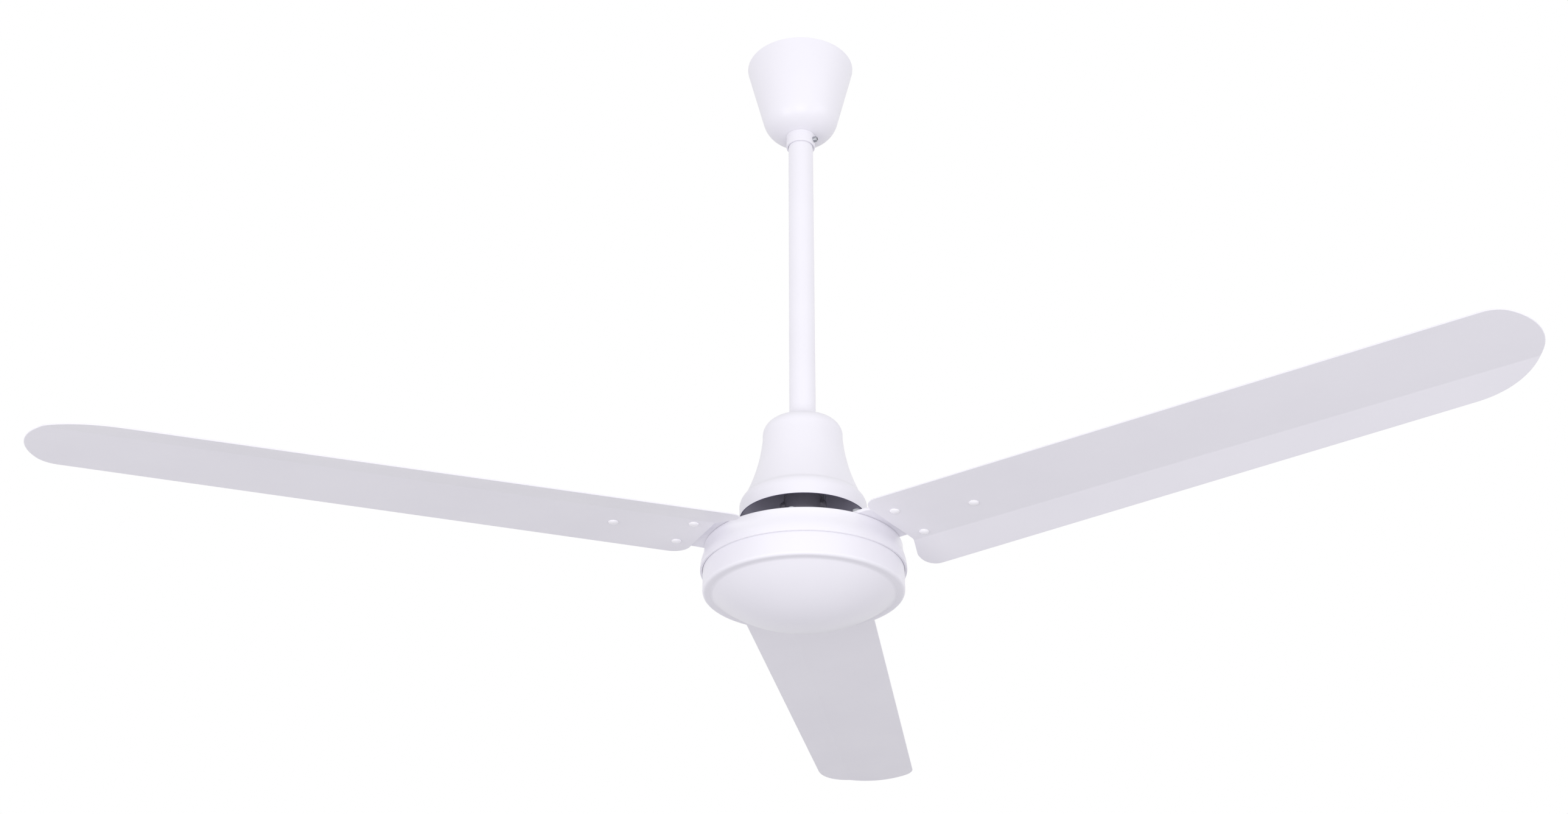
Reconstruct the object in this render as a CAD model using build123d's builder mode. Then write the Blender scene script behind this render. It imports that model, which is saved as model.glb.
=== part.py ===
from build123d import *
from math import cos, radians, sin, sqrt, tan
import os

# Industrial ceiling fan with three pressed-steel blades, hung from the ceiling by a tube.
# Millimetres. The origin is on the ceiling, on the fan's axis. +Z is up, so the fan hangs below zero.
# Heights called "level" are counted from the blade plane, which is where the blades cross the axis.

os.makedirs("parts", exist_ok=True)

# Ceiling bracket, pressed from one blank
bracket_length = 94
bracket_width = 28
bracket_thickness = 3
bracket_bend_radius = 3
fixing_spacing = 70
fixing_slot_width = 6.5
fixing_slot_length = 12
cable_hole_radius = 8
ear_width = 36
ear_tip_radius = 13
ear_gap = 33.6
hanger_drop = 36

# Hanger bolt, its nut and its split pin
hanger_bolt_radius = 4
hanger_bolt_flats = 13
hanger_head_height = 5.3
hanger_nut_height = 6.5
hanger_tail_length = 8
bolt_hole_clearance = 0.25
running_clearance = 0.05
fit_clearance = 0.02
seat_gap = 0.3
split_pin_radius = 1.1
split_pin_hole_clearance = 0.15

# Rubber bushes in the head of the downrod
bush_barrel_radius = 7
bush_barrel_length = 11
bush_flange_radius = 11
bush_side_gap = 0.35

# Terminal block and earth screw, on the outer faces of the ears
terminal_length = 32
terminal_depth = 14
terminal_height = 14
terminal_ways = 3
terminal_pitch = 9.5
terminal_well_radius = 3.2
terminal_well_depth = 3.5
terminal_wire_radius = 1.8
terminal_drop = 7
terminal_peg_radius = 2
terminal_peg_spacing = 20
terminal_peg_spring = 0.6
clamp_screw_radius = 1.5
clamp_head_radius = 2.8
clamp_head_height = 1.8
clamp_screw_length = 5
earth_screw_radius = 2
earth_head_radius = 3.6
earth_head_height = 2.2
earth_screw_length = 4.5
earth_screw_drop = 14

# Downrod
rod_radius = 13.35
rod_wall = 2
rod_length = 508.5
rod_above_bolt = 16.5

# Upper canopy, the cup at the ceiling
canopy_mouth_gap = 3
canopy_mouth_radius = 58.5
canopy_base_radius = 35.4
canopy_depth = 92.7
canopy_corner_radius = 28.3
sheet_wall = 1
collar_radius = 15.6
collar_length = 13.6
collar_edge = 0.6
collar_screw_rise = 6.6
collar_screw_azimuth = -17
small_screw_radius = 2
collar_screw_head_radius = 3.2
collar_screw_head_height = 4.4

# Rod coupler, its cross bolt and its lock screws
coupler_radius = 18
coupler_socket_depth = 40
coupler_ledge = 2
coupler_shank_length = 20
coupler_ledge_bore = 6.5
coupler_flat_depth = 0.7
coupler_flat_radius = 6.2
coupler_edge = 1
coupling_bolt_radius = 3
coupling_bolt_flats = 10
coupling_head_height = 4
coupling_nut_height = 5
coupling_tail_length = 6
coupling_bolt_rise = 22
lock_screw_radius = 3
lock_screw_head_radius = 4.5
lock_screw_head_height = 3
lock_nut_flats = 10
lock_nut_height = 2.6
rod_end_level = 62
rod_lock_rise = 8
shaft_lock_drop = 12

# Lower canopy, the bell over the motor, as (radius, level) of its outer face
bell_hole_radius = 14.6
bell_top_level = 141
bell_flat_radius = 17.5
bell_flat_bend = 3
bell_wall = 1.2
bell_shoulder_level = 136
bell_shoulder_radius = 14
bell_neck_radius = 40.1
bell_neck_level = 120
bell_waist_radius = 44.2
bell_waist_level = 94
bell_ridge_radius = 58.2
bell_ridge_level = 54
bell_band_radius = 61.6
bell_band_level = 49.8
bell_rim_radius = 62.6
bell_rim_top_level = 43
bell_rim_level = 32.5
grommet_lip_radius = 15.4
grommet_lip_height = 0.6
grommet_tail_radius = 16.4
grommet_tail_height = 3

# Run capacitor and its clip, on the coupler inside the bell
capacitor_width = 37
capacitor_depth = 16
capacitor_height = 27
capacitor_corner = 2
capacitor_drop = 14
clip_drop = 3
clip_height = 8
clip_thickness = 1.2

# Motor shells
shell_wall = 1.3
shell_top_level = 2
shell_bottom_of_top_level = -1
shell_edge_radius = 1.2
lip_flare = 2.5
lip_wall = 1.3
lip_bend_radius = 30
lip_top_level = -5
lip_full_level = -17.3
lip_bottom_level = -23.2
lower_shell_gap = 0.3
lower_shell_wall = 2
lower_shell_top_level = -18.6
lower_shell_bottom_level = -46.3
lower_shell_edge_radius = 3
lower_shell_floor = 2.4
cover_inset = 9.3
cover_depth = 29.5
cover_wall = 1
cover_skirt_inset = 2.6
cover_skirt_height = 1.5
cover_skirt_root = 1.6

# Shaft, bearings and circlips
shaft_radius = 8.5
shaft_stator_radius = 10.5
shaft_tail_radius = 7.5
shaft_bore_radius = 5.5
shaft_bore_end_level = -9
lead_hole_radius = 3.2
lead_hole_level = -5.5
shaft_tail_level = -58.5
upper_bearing_level = 0
upper_bearing_height = 12
upper_bearing_radius = 20
lower_bearing_level = -54
lower_bearing_height = 11
lower_bearing_radius = 17.5
bearing_ring = 3.2
bearing_shield = 1
boss_wall = 4.5
boss_lip = 5
boss_lip_height = 1.6
circlip_thickness = 1
circlip_groove = 0.6
circlip_width = 2.2
circlip_gap = 3

# Stator and rotor
stack_bottom_level = -33
stack_height = 22
stator_slots = 18
yoke_radius = 40
slot_shoulder_height = 3
tooth_tip_height = 5
slot_throat_half = 1.6
tooth_half = 4.4
coil_length = 18
coil_end_gap = 2
coil_side_gap = 0.8
coil_taper = 7
slot_liner = 0.3
air_gap = 0.6
rotor_depth = 24.6
rotor_bars = 24
bar_depth = 6
bar_width = 4
bar_inset = 5.4
cage_ring_half = 5
cage_ring_height = 6

# Blade irons and their screws
blade_count = 3
first_blade_azimuth = 90
blade_pitch = 3.6
blade_droop = 1.1
iron_thickness = 3
iron_inner_inset = 21.5
iron_overhang = 1.5
iron_bend_length = 8
iron_half_width = 34.5
iron_waist_half_width = 33
iron_shoulder_length = 27
iron_neck_length = 18
iron_neck_half_width = 16
iron_tip_radius = 14
iron_corner = 9
iron_side_radius = 10
iron_screw_inset = 8
iron_screw_half_span = 28
iron_screw_radius = 2.5
iron_screw_head_radius = 4.5
iron_screw_head_height = 5
iron_screw_depth = 7
iron_washer_radius = 5
iron_washer_height = 1.2
screw_boss_radius = 5.2
screw_boss_depth = 7
shell_screw_inset = 7.5
shell_screw_radius = 2
shell_screw_head_radius = 4
shell_screw_head_height = 3.6
shell_screw_end_level = -40.5

# Blades, as distances along the blade from the axis and across it
sweep_radius = 711
blade_thickness = 1.2
blade_offset = 2.4
root_gap = 8.5
leading_edge_root = -51.7
leading_edge_slope = -0.0065
trailing_edge_root = 80.6
trailing_edge_slope = -0.0365
crease_root = 36.9
crease_slope = -0.0159
crease_angle = 9
crease_radius = 3
root_corner = 17
lobe_overhang = 12
lobe_start = 35
lobe_shoulder = 60.5
lobe_shoulder_radius = 14
lobe_corner = 14
lobe_bend = 14
tip_shoulder = -5
tip_corner_setback = 25
leading_tip_corner = 30
middle_tip_corner = 60
trailing_tip_corner = 24

# Rivets through each iron and its blade
rivet_inner_setback = 17.8
rivet_half_span = 24.5
rivet_outer_setback = 88.8
rivet_shank_radius = 2.4
rivet_hole_clearance = 0.1
rivet_head_radius = 5
rivet_head_height = 2.2
rivet_tail_radius = 4
rivet_tail_height = 1.8

# Heights and radii that follow from the driving sizes
rod_top_z = rod_above_bolt - hanger_drop
rod_bottom_z = rod_top_z - rod_length
blade_z = rod_bottom_z - rod_end_level
bolt_z = -hanger_drop
ear_inner = ear_gap / 2
ear_outer = ear_inner + bracket_thickness
canopy_mouth_z = -canopy_mouth_gap
canopy_base_z = canopy_mouth_z - canopy_depth
collar_bottom_z = canopy_base_z - collar_length
collar_bore_radius = rod_radius + seat_gap
rod_bore_radius = rod_radius - rod_wall
shaft_top_z = rod_bottom_z - coupler_ledge
coupler_bottom_z = shaft_top_z - coupler_shank_length
coupler_top_z = rod_bottom_z + coupler_socket_depth
coupler_flat = coupler_radius - coupler_flat_depth
coupling_bolt_z = rod_bottom_z + coupling_bolt_rise
stack_bottom_z = blade_z + stack_bottom_level
stack_top_z = stack_bottom_z + stack_height
coil_inner_radius = yoke_radius + coil_end_gap
coil_outer_radius = coil_inner_radius + coil_length
slot_shoulder_radius = coil_outer_radius + coil_end_gap
slot_throat_radius = slot_shoulder_radius + slot_shoulder_height
stator_radius = slot_throat_radius + tooth_tip_height
rotor_bore_radius = stator_radius + air_gap
shell_inner_radius = rotor_bore_radius + rotor_depth + fit_clearance
shell_radius = shell_inner_radius + shell_wall
lip_radius = shell_radius + lip_flare
lip_inner_radius = lip_radius - lip_wall
lower_shell_radius = lip_inner_radius - lower_shell_gap
cover_radius = lower_shell_radius - cover_inset
cover_skirt_radius = cover_radius - cover_skirt_inset
bar_radius = rotor_bore_radius + bar_inset
shell_screw_circle = shell_radius - shell_screw_inset
iron_screw_circle = shell_radius - iron_screw_inset
iron_inner_reach = shell_radius - iron_inner_inset
iron_bend_start = shell_radius + iron_overhang
iron_bend_end = iron_bend_start + iron_bend_length
iron_shoulder_reach = iron_bend_end + iron_shoulder_length
iron_neck_reach = iron_shoulder_reach + iron_neck_length
root_reach = shell_radius + root_gap
lobe_reach = root_reach - lobe_overhang
rivet_inner_reach = root_reach + rivet_inner_setback
rivet_outer_reach = root_reach + rivet_outer_setback
tip_corner_reach = sweep_radius - tip_corner_setback
iron_screw_reach = sqrt(iron_screw_circle**2 - iron_screw_half_span**2)
blade_azimuths = [first_blade_azimuth + 360 / blade_count * i for i in range(blade_count)]
screw_azimuths = [azimuth + 180 / blade_count for azimuth in blade_azimuths]
up = Vector(0, 0, 1)


def save(part, name):
    part.label = name
    export_step(part, f"parts/{name}.step")


def at(radius, level):
    """Point of a profile of revolution, its height counted from the blade plane."""
    return (radius, blade_z + level)


def outward(azimuth):
    return Vector(cos(radians(azimuth)), sin(radians(azimuth)), 0)


def radial_plane(azimuth, radius, z):
    """Plane square to a radius of the fan, facing outwards, with its own Y axis up."""
    along = outward(azimuth)
    return Plane(origin=along * radius + up * z, x_dir=up.cross(along), z_dir=along)


def hub_plane(azimuth, level):
    """Level plane whose X axis points out along one blade."""
    return Plane(origin=(0, 0, blade_z + level), x_dir=outward(azimuth), z_dir=up)


def blade_plane(azimuth, rise):
    """Plane of one blade, drooped along it and pitched across it, with the lower edge at +Y."""
    along = outward(azimuth)
    across = up.cross(along)
    droop = radians(blade_droop)
    pitch = radians(blade_pitch)
    lift = along * sin(droop) + up * cos(droop)
    normal = lift * cos(pitch) + across * sin(pitch)
    return Plane(
        origin=up * blade_z + normal * rise,
        x_dir=along * cos(droop) - up * sin(droop),
        z_dir=normal,
    )


def cross_section(plane, reach):
    """Plane square to another plane's X axis, with its own X axis across and its Y axis up."""
    return Plane(origin=plane.origin + plane.x_dir * reach, x_dir=plane.y_dir, z_dir=plane.x_dir)


def hex_bolt(seat, radius, flats, head_height, length, pin_at):
    """Bolt whose shank runs along the seat's normal, drilled for a split pin near its end."""
    with BuildPart() as bolt:
        with BuildSketch(seat):
            RegularPolygon(flats / 2, 6, major_radius=False)
        extrude(amount=-head_height)
        with BuildSketch(seat):
            Circle(radius)
        extrude(amount=length)
        chamfer(faces().sort_by(Axis(seat.origin, seat.z_dir))[-1].edges(), length=radius / 5)
        with BuildSketch(Plane(origin=seat.origin + seat.z_dir * pin_at, x_dir=seat.z_dir, z_dir=up)):
            Circle(split_pin_radius + split_pin_hole_clearance)
        extrude(amount=radius * 2, both=True, mode=Mode.SUBTRACT)
    return bolt.part


def hex_nut(seat, bore, flats, height):
    with BuildPart() as nut:
        with BuildSketch(seat):
            RegularPolygon(flats / 2, 6, major_radius=False)
            Circle(bore, mode=Mode.SUBTRACT)
        extrude(amount=height)
    return nut.part


def split_pin(centre, across, reach):
    """Upright split pin: a straight shank with a ring eye on top and its legs bent apart below."""
    r = split_pin_radius
    side = Plane(origin=centre, x_dir=across, z_dir=across.cross(up))
    with BuildPart() as pin:
        with BuildSketch(Plane(origin=centre - up * reach, x_dir=across, z_dir=up)):
            Circle(r)
        extrude(amount=2 * reach)
        with BuildSketch(side):
            with Locations((0, reach + 2 * r)):
                Circle(2.4 * r)
                Circle(1.3 * r, mode=Mode.SUBTRACT)
            with BuildLine():
                Polyline(
                    (-r, -reach),
                    (-4 * r, -reach - 2 * r),
                    (-3 * r, -reach - 3 * r),
                    (0, -reach - r),
                    (3 * r, -reach - 3 * r),
                    (4 * r, -reach - 2 * r),
                    (r, -reach),
                    close=True,
                )
            make_face()
        extrude(amount=r / 1.5, both=True)
    return pin.part


def pan_screw(seat, radius, head_radius, head_height, length):
    """Cross-recess screw with a bevelled head. The seat's normal points from the head to the tip."""
    with BuildPart() as screw:
        with BuildSketch(seat):
            Circle(head_radius)
        extrude(amount=-head_height)
        chamfer(faces().sort_by(Axis(seat.origin, seat.z_dir))[0].edges(), length=head_radius * 0.35)
        with BuildSketch(seat.offset(-head_height)):
            Rectangle(head_radius * 1.1, head_radius * 0.28)
            Rectangle(head_radius * 0.28, head_radius * 1.1)
        extrude(amount=head_height * 0.5, mode=Mode.SUBTRACT)
        with BuildSketch(seat):
            Circle(radius)
        extrude(amount=length)
    return screw.part


def several(name, parts):
    """One node made of separate identical pieces."""
    save(Compound(label=name, children=parts), name)


def washer(seat, bore):
    with BuildPart() as disc:
        with BuildSketch(seat):
            Circle(iron_washer_radius)
            Circle(bore, mode=Mode.SUBTRACT)
        extrude(amount=iron_washer_height)
    return disc.part


def ring(inner, outer, bottom_z, height):
    with BuildPart() as body:
        with BuildSketch(Plane.XY.offset(bottom_z)):
            Circle(outer)
            Circle(inner, mode=Mode.SUBTRACT)
        extrude(amount=height)
    return body.part


def bearing_outer_ring(outer, shield_bore, bottom_z, height):
    """Outer ring of a shielded ball bearing, with the two shields that close it."""
    with BuildPart() as body:
        with BuildSketch(Plane.XZ):
            with BuildLine():
                Polyline(
                    (shield_bore, bottom_z),
                    (outer, bottom_z),
                    (outer, bottom_z + height),
                    (shield_bore, bottom_z + height),
                    (shield_bore, bottom_z + height - bearing_shield),
                    (outer - bearing_ring, bottom_z + height - bearing_shield),
                    (outer - bearing_ring, bottom_z + bearing_shield),
                    (shield_bore, bottom_z + bearing_shield),
                    close=True,
                )
            make_face()
        revolve(axis=Axis.Z)
    return body.part


def circlip(seat_radius, bottom_z):
    groove = seat_radius - circlip_groove
    with BuildPart() as clip:
        with BuildSketch(Plane.XY.offset(bottom_z)):
            Circle(groove + circlip_width)
            Circle(groove + fit_clearance, mode=Mode.SUBTRACT)
            with Locations((groove + circlip_width / 2, 0)):
                Rectangle(2 * circlip_width, circlip_gap, mode=Mode.SUBTRACT)
        extrude(amount=circlip_thickness)
    return clip.part


# Ceiling bracket: a flat plate with two slots and a cable hole, and two ears bent down
with BuildPart() as ceiling_bracket:
    with BuildSketch(Plane.XY.offset(-bracket_thickness)):
        RectangleRounded(bracket_length, bracket_width, bracket_width / 3)
    extrude(amount=bracket_thickness)
    bend_depth = bracket_thickness + bracket_bend_radius
    with BuildSketch(Plane.YZ.offset(-ear_width / 2)):
        with Locations((0, -bend_depth / 2)):
            Rectangle(2 * ear_outer, bend_depth)
        fillet(vertices().group_by(Axis.Y)[-1], radius=bend_depth - 0.01)
        with BuildLine():
            FilletPolyline(
                (-ear_inner, -2 * bend_depth),
                (-ear_inner, -bracket_thickness),
                (ear_inner, -bracket_thickness),
                (ear_inner, -2 * bend_depth),
                radius=bracket_bend_radius,
                close=False,
            )
            Line((ear_inner, -2 * bend_depth), (-ear_inner, -2 * bend_depth))
        make_face(mode=Mode.SUBTRACT)
    extrude(amount=ear_width)
    for ear_plane in (Plane.XZ.offset(ear_inner), Plane.XZ.offset(-ear_outer)):
        with BuildSketch(ear_plane):
            with BuildLine():
                Line((-ear_width / 2, -bend_depth), (ear_width / 2, -bend_depth))
            with Locations((0, bolt_z)):
                Circle(ear_tip_radius)
            make_hull()
            with Locations((0, bolt_z)):
                Circle(hanger_bolt_radius + bolt_hole_clearance, mode=Mode.SUBTRACT)
        extrude(amount=bracket_thickness)
    with BuildSketch(Plane.XY):
        with GridLocations(fixing_spacing, 0, 2, 1):
            SlotOverall(fixing_slot_length, fixing_slot_width)
        Circle(cable_hole_radius)
    extrude(amount=-bracket_thickness, mode=Mode.SUBTRACT)
    with BuildSketch(Plane.XZ.offset(ear_outer)):
        with Locations((0, -terminal_drop - terminal_height / 2)):
            with GridLocations(terminal_peg_spacing, 0, 2, 1):
                Circle(terminal_peg_radius + fit_clearance)
    extrude(amount=-bracket_thickness, mode=Mode.SUBTRACT)
    with BuildSketch(Plane.XZ.offset(-ear_outer)):
        with Locations((0, -earth_screw_drop)):
            Circle(earth_screw_radius + fit_clearance)
    extrude(amount=bracket_thickness, mode=Mode.SUBTRACT)
save(ceiling_bracket.part, "ceiling_bracket")

# Hanger bolt through both ears, its nut and its split pin
hanger_grip = 2 * ear_outer
hanger_pin_at = hanger_grip + hanger_nut_height + hanger_tail_length / 2
hanger_bolt = hex_bolt(
    Plane(origin=(0, -ear_outer, bolt_z), x_dir=(1, 0, 0), z_dir=(0, 1, 0)),
    hanger_bolt_radius,
    hanger_bolt_flats,
    hanger_head_height,
    hanger_grip + hanger_nut_height + hanger_tail_length,
    hanger_pin_at,
)
save(hanger_bolt, "hanger_bolt")
hanger_nut = hex_nut(
    Plane(origin=(0, ear_outer, bolt_z), x_dir=(1, 0, 0), z_dir=(0, 1, 0)),
    hanger_bolt_radius + fit_clearance,
    hanger_bolt_flats,
    hanger_nut_height,
)
save(hanger_nut, "hanger_nut")
hanger_split_pin = split_pin(
    Vector(0, hanger_pin_at - ear_outer, bolt_z),
    Vector(1, 0, 0),
    hanger_bolt_radius + split_pin_radius / 2,
)
save(hanger_split_pin, "hanger_split_pin")

# Terminal block on the ear behind the bolt's head, held by two sprung pegs
terminal_z = -terminal_drop - terminal_height / 2
terminal_face_y = ear_outer + terminal_depth
with BuildPart() as terminal_block:
    with BuildSketch(Plane.XZ.offset(ear_outer)):
        with Locations((0, terminal_z)):
            Rectangle(terminal_length, terminal_height)
    extrude(amount=terminal_depth)
    chamfer(edges().group_by(Axis.Y)[0], length=0.8)
    with BuildSketch(Plane.XZ.offset(terminal_face_y)):
        with Locations((0, terminal_z)):
            with GridLocations(terminal_pitch, 0, terminal_ways, 1):
                Circle(terminal_well_radius)
    extrude(amount=-terminal_well_depth, mode=Mode.SUBTRACT)
    with BuildSketch(Plane.XZ.offset(terminal_face_y - terminal_well_depth)):
        with Locations((0, terminal_z)):
            with GridLocations(terminal_pitch, 0, terminal_ways, 1):
                Circle(clamp_screw_radius + fit_clearance)
    extrude(amount=-clamp_screw_length, mode=Mode.SUBTRACT)
    with BuildSketch(Plane.XY.offset(terminal_z)):
        with Locations((0, -ear_outer - terminal_depth / 3)):
            with GridLocations(terminal_pitch, 0, terminal_ways, 1):
                Circle(terminal_wire_radius)
    extrude(amount=-terminal_height / 2, mode=Mode.SUBTRACT)
    with BuildSketch(Plane.XZ.offset(ear_outer)):
        with Locations((0, terminal_z)):
            with GridLocations(terminal_peg_spacing, 0, 2, 1):
                Circle(terminal_peg_radius)
    extrude(amount=-bracket_thickness - terminal_peg_spring)
save(terminal_block.part, "terminal_block")
clamp_screws = []
for way in range(terminal_ways):
    clamp_x = (way - (terminal_ways - 1) / 2) * terminal_pitch
    clamp_seat = Plane(
        origin=(clamp_x, terminal_well_depth - terminal_face_y, terminal_z), x_dir=(1, 0, 0), z_dir=(0, 1, 0)
    )
    clamp_screws.append(
        pan_screw(clamp_seat, clamp_screw_radius, clamp_head_radius, clamp_head_height, clamp_screw_length)
    )
several("terminal_screws", clamp_screws)

# Earth screw on the other ear
earth_screw = pan_screw(
    Plane(origin=(0, ear_outer, -earth_screw_drop), x_dir=(1, 0, 0), z_dir=(0, -1, 0)),
    earth_screw_radius,
    earth_head_radius,
    earth_head_height,
    earth_screw_length,
)
save(earth_screw, "earth_screw")

# Downrod, a tube drilled across at the top for the bushes and at the foot for the coupling bolt
with BuildPart() as downrod:
    with BuildSketch(Plane.XY.offset(rod_bottom_z)):
        Circle(rod_radius)
        Circle(rod_bore_radius, mode=Mode.SUBTRACT)
    extrude(amount=rod_length)
    with BuildSketch(Plane.XZ):
        with Locations((0, bolt_z)):
            Circle(bush_barrel_radius + fit_clearance)
    extrude(amount=2 * rod_radius, both=True, mode=Mode.SUBTRACT)
    with BuildSketch(Plane.YZ):
        with Locations((0, coupling_bolt_z)):
            Circle(coupling_bolt_radius + bolt_hole_clearance)
    extrude(amount=2 * rod_radius, both=True, mode=Mode.SUBTRACT)
save(downrod.part, "downrod")

# Rubber bushes: a barrel in the tube's wall and a flange saddled on its outside, on both sides
bush_face = ear_inner - bush_side_gap
bushes = []
for side in (-1, 1):
    outside = Plane(origin=(0, side * bush_face, bolt_z), x_dir=(1, 0, 0), z_dir=(0, side, 0))
    with BuildPart() as hanger_bush:
        with BuildSketch(outside):
            Circle(bush_flange_radius)
        extrude(amount=-bush_face)
        with BuildSketch(Plane.XY.offset(bolt_z)):
            Circle(rod_radius + fit_clearance)
        extrude(amount=bush_flange_radius, both=True, mode=Mode.SUBTRACT)
        with BuildSketch(outside):
            Circle(bush_barrel_radius)
        extrude(amount=-bush_barrel_length)
        with BuildSketch(outside):
            Circle(hanger_bolt_radius + running_clearance)
        extrude(amount=-bush_barrel_length, mode=Mode.SUBTRACT)
    bushes.append(hanger_bush.part)
several("hanger_bushes", bushes)

# Rod coupler: a socket for the tube above a ledge, and a bore for the motor shaft below it
with BuildPart() as rod_coupler:
    with BuildSketch(Plane.XY.offset(coupler_bottom_z)):
        Circle(coupler_radius)
    extrude(amount=coupler_top_z - coupler_bottom_z)
    chamfer(edges().filter_by(GeomType.CIRCLE), length=coupler_edge)
    with BuildSketch(Plane.XY.offset(coupler_top_z)):
        Circle(rod_radius + fit_clearance)
    extrude(amount=-coupler_socket_depth, mode=Mode.SUBTRACT)
    with BuildSketch(Plane.XY.offset(coupler_bottom_z)):
        Circle(shaft_radius + fit_clearance)
    extrude(amount=coupler_shank_length, mode=Mode.SUBTRACT)
    with BuildSketch(Plane.XY.offset(shaft_top_z)):
        Circle(coupler_ledge_bore)
    extrude(amount=coupler_ledge, mode=Mode.SUBTRACT)
    for side in (0, 180):
        for cross_z, hole in (
            (coupling_bolt_z, coupling_bolt_radius + bolt_hole_clearance),
            (rod_bottom_z + rod_lock_rise, lock_screw_radius + fit_clearance),
            (shaft_top_z - shaft_lock_drop, lock_screw_radius + fit_clearance),
        ):
            with BuildSketch(radial_plane(side, coupler_flat, cross_z)):
                Circle(coupler_flat_radius)
            extrude(amount=coupler_radius, mode=Mode.SUBTRACT)
            with BuildSketch(radial_plane(side, coupler_flat, cross_z)):
                Circle(hole)
            extrude(amount=shaft_radius - coupler_flat, mode=Mode.SUBTRACT)
save(rod_coupler.part, "rod_coupler")

# Coupling bolt through coupler and tube, its nut and its split pin
coupling_pin_at = 2 * coupler_flat + coupling_nut_height + coupling_tail_length / 2
coupling_bolt = hex_bolt(
    Plane(origin=(-coupler_flat, 0, coupling_bolt_z), x_dir=(0, 1, 0), z_dir=(1, 0, 0)),
    coupling_bolt_radius,
    coupling_bolt_flats,
    coupling_head_height,
    2 * coupler_flat + coupling_nut_height + coupling_tail_length,
    coupling_pin_at,
)
save(coupling_bolt, "coupling_bolt")
coupling_nut = hex_nut(
    Plane(origin=(coupler_flat, 0, coupling_bolt_z), x_dir=(0, 1, 0), z_dir=(1, 0, 0)),
    coupling_bolt_radius + fit_clearance,
    coupling_bolt_flats,
    coupling_nut_height,
)
save(coupling_nut, "coupling_nut")
coupling_split_pin = split_pin(
    Vector(coupling_pin_at - coupler_flat, 0, coupling_bolt_z),
    Vector(0, 1, 0),
    coupling_bolt_radius + split_pin_radius / 2,
)
save(coupling_split_pin, "coupling_split_pin")

# Lock screws against the tube and against the shaft, each with a nut under its head
lock_nuts = []
for name, lock_z, tip_radius in (
    ("rod_lock_screws", rod_bottom_z + rod_lock_rise, rod_radius),
    ("shaft_lock_screws", shaft_top_z - shaft_lock_drop, shaft_radius),
):
    lock_screws = []
    for side in (0, 180):
        head_seat = radial_plane(side, coupler_flat + lock_nut_height, lock_z)
        lock_screws.append(
            pan_screw(
                Plane(origin=head_seat.origin, x_dir=head_seat.x_dir, z_dir=-head_seat.z_dir),
                lock_screw_radius,
                lock_screw_head_radius,
                lock_screw_head_height,
                coupler_flat + lock_nut_height - tip_radius,
            )
        )
        lock_nuts.append(
            hex_nut(
                radial_plane(side, coupler_flat, lock_z),
                lock_screw_radius + fit_clearance,
                lock_nut_flats,
                lock_nut_height,
            )
        )
    several(name, lock_screws)
several("coupler_lock_nuts", lock_nuts)

# Run capacitor beside the coupler, and the clip that bands it to the coupler
capacitor_y = coupler_radius + 1.5 * clip_thickness + capacitor_depth / 2
capacitor_z = rod_bottom_z - capacitor_drop
with BuildPart() as run_capacitor:
    with BuildSketch(Plane.XY.offset(capacitor_z)):
        with Locations((0, capacitor_y)):
            RectangleRounded(capacitor_width, capacitor_depth, capacitor_corner)
    extrude(amount=capacitor_height)
    chamfer(faces().sort_by(Axis.Z)[-1].edges(), length=0.6)
    chamfer(faces().sort_by(Axis.Z)[0].edges(), length=0.6)
save(run_capacitor.part, "run_capacitor")
with BuildPart() as capacitor_clip:
    with BuildSketch(Plane.XY.offset(rod_bottom_z - clip_drop - clip_height / 2)):
        Circle(coupler_radius + clip_thickness)
        with Locations((0, capacitor_y)):
            RectangleRounded(
                capacitor_width + 2 * clip_thickness,
                capacitor_depth + 2 * clip_thickness,
                capacitor_corner + clip_thickness,
            )
            RectangleRounded(
                capacitor_width + 2 * fit_clearance,
                capacitor_depth + 2 * fit_clearance,
                capacitor_corner,
                mode=Mode.SUBTRACT,
            )
        Circle(coupler_radius + fit_clearance, mode=Mode.SUBTRACT)
    extrude(amount=clip_height)
save(capacitor_clip.part, "capacitor_clip")

# Motor shaft, bored for the leads, which leave it through a side hole above the stator
upper_clip_z = blade_z + upper_bearing_level + upper_bearing_height
lower_clip_z = blade_z + lower_bearing_level - circlip_thickness
with BuildPart() as motor_shaft:
    with BuildSketch(Plane.XZ):
        with BuildLine():
            Polyline(
                (shaft_bore_radius, shaft_top_z),
                (shaft_radius, shaft_top_z),
                at(shaft_radius, upper_bearing_level),
                at(shaft_stator_radius, upper_bearing_level),
                at(shaft_stator_radius, lower_bearing_level + lower_bearing_height),
                at(shaft_tail_radius, lower_bearing_level + lower_bearing_height),
                at(shaft_tail_radius, shaft_tail_level),
                at(0, shaft_tail_level),
                at(0, shaft_bore_end_level),
                at(shaft_bore_radius, shaft_bore_end_level),
                close=True,
            )
        make_face()
    revolve(axis=Axis.Z)
    with BuildSketch(Plane.YZ):
        with Locations((0, blade_z + lead_hole_level)):
            Circle(lead_hole_radius)
    extrude(amount=shaft_radius * 2, mode=Mode.SUBTRACT)
    for groove_z, seat_radius in ((upper_clip_z, shaft_radius), (lower_clip_z, shaft_tail_radius)):
        with BuildSketch(Plane.XY.offset(groove_z)):
            Circle(seat_radius + circlip_groove)
            Circle(seat_radius - circlip_groove, mode=Mode.SUBTRACT)
        extrude(amount=circlip_thickness, mode=Mode.SUBTRACT)
save(motor_shaft.part, "motor_shaft")
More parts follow.
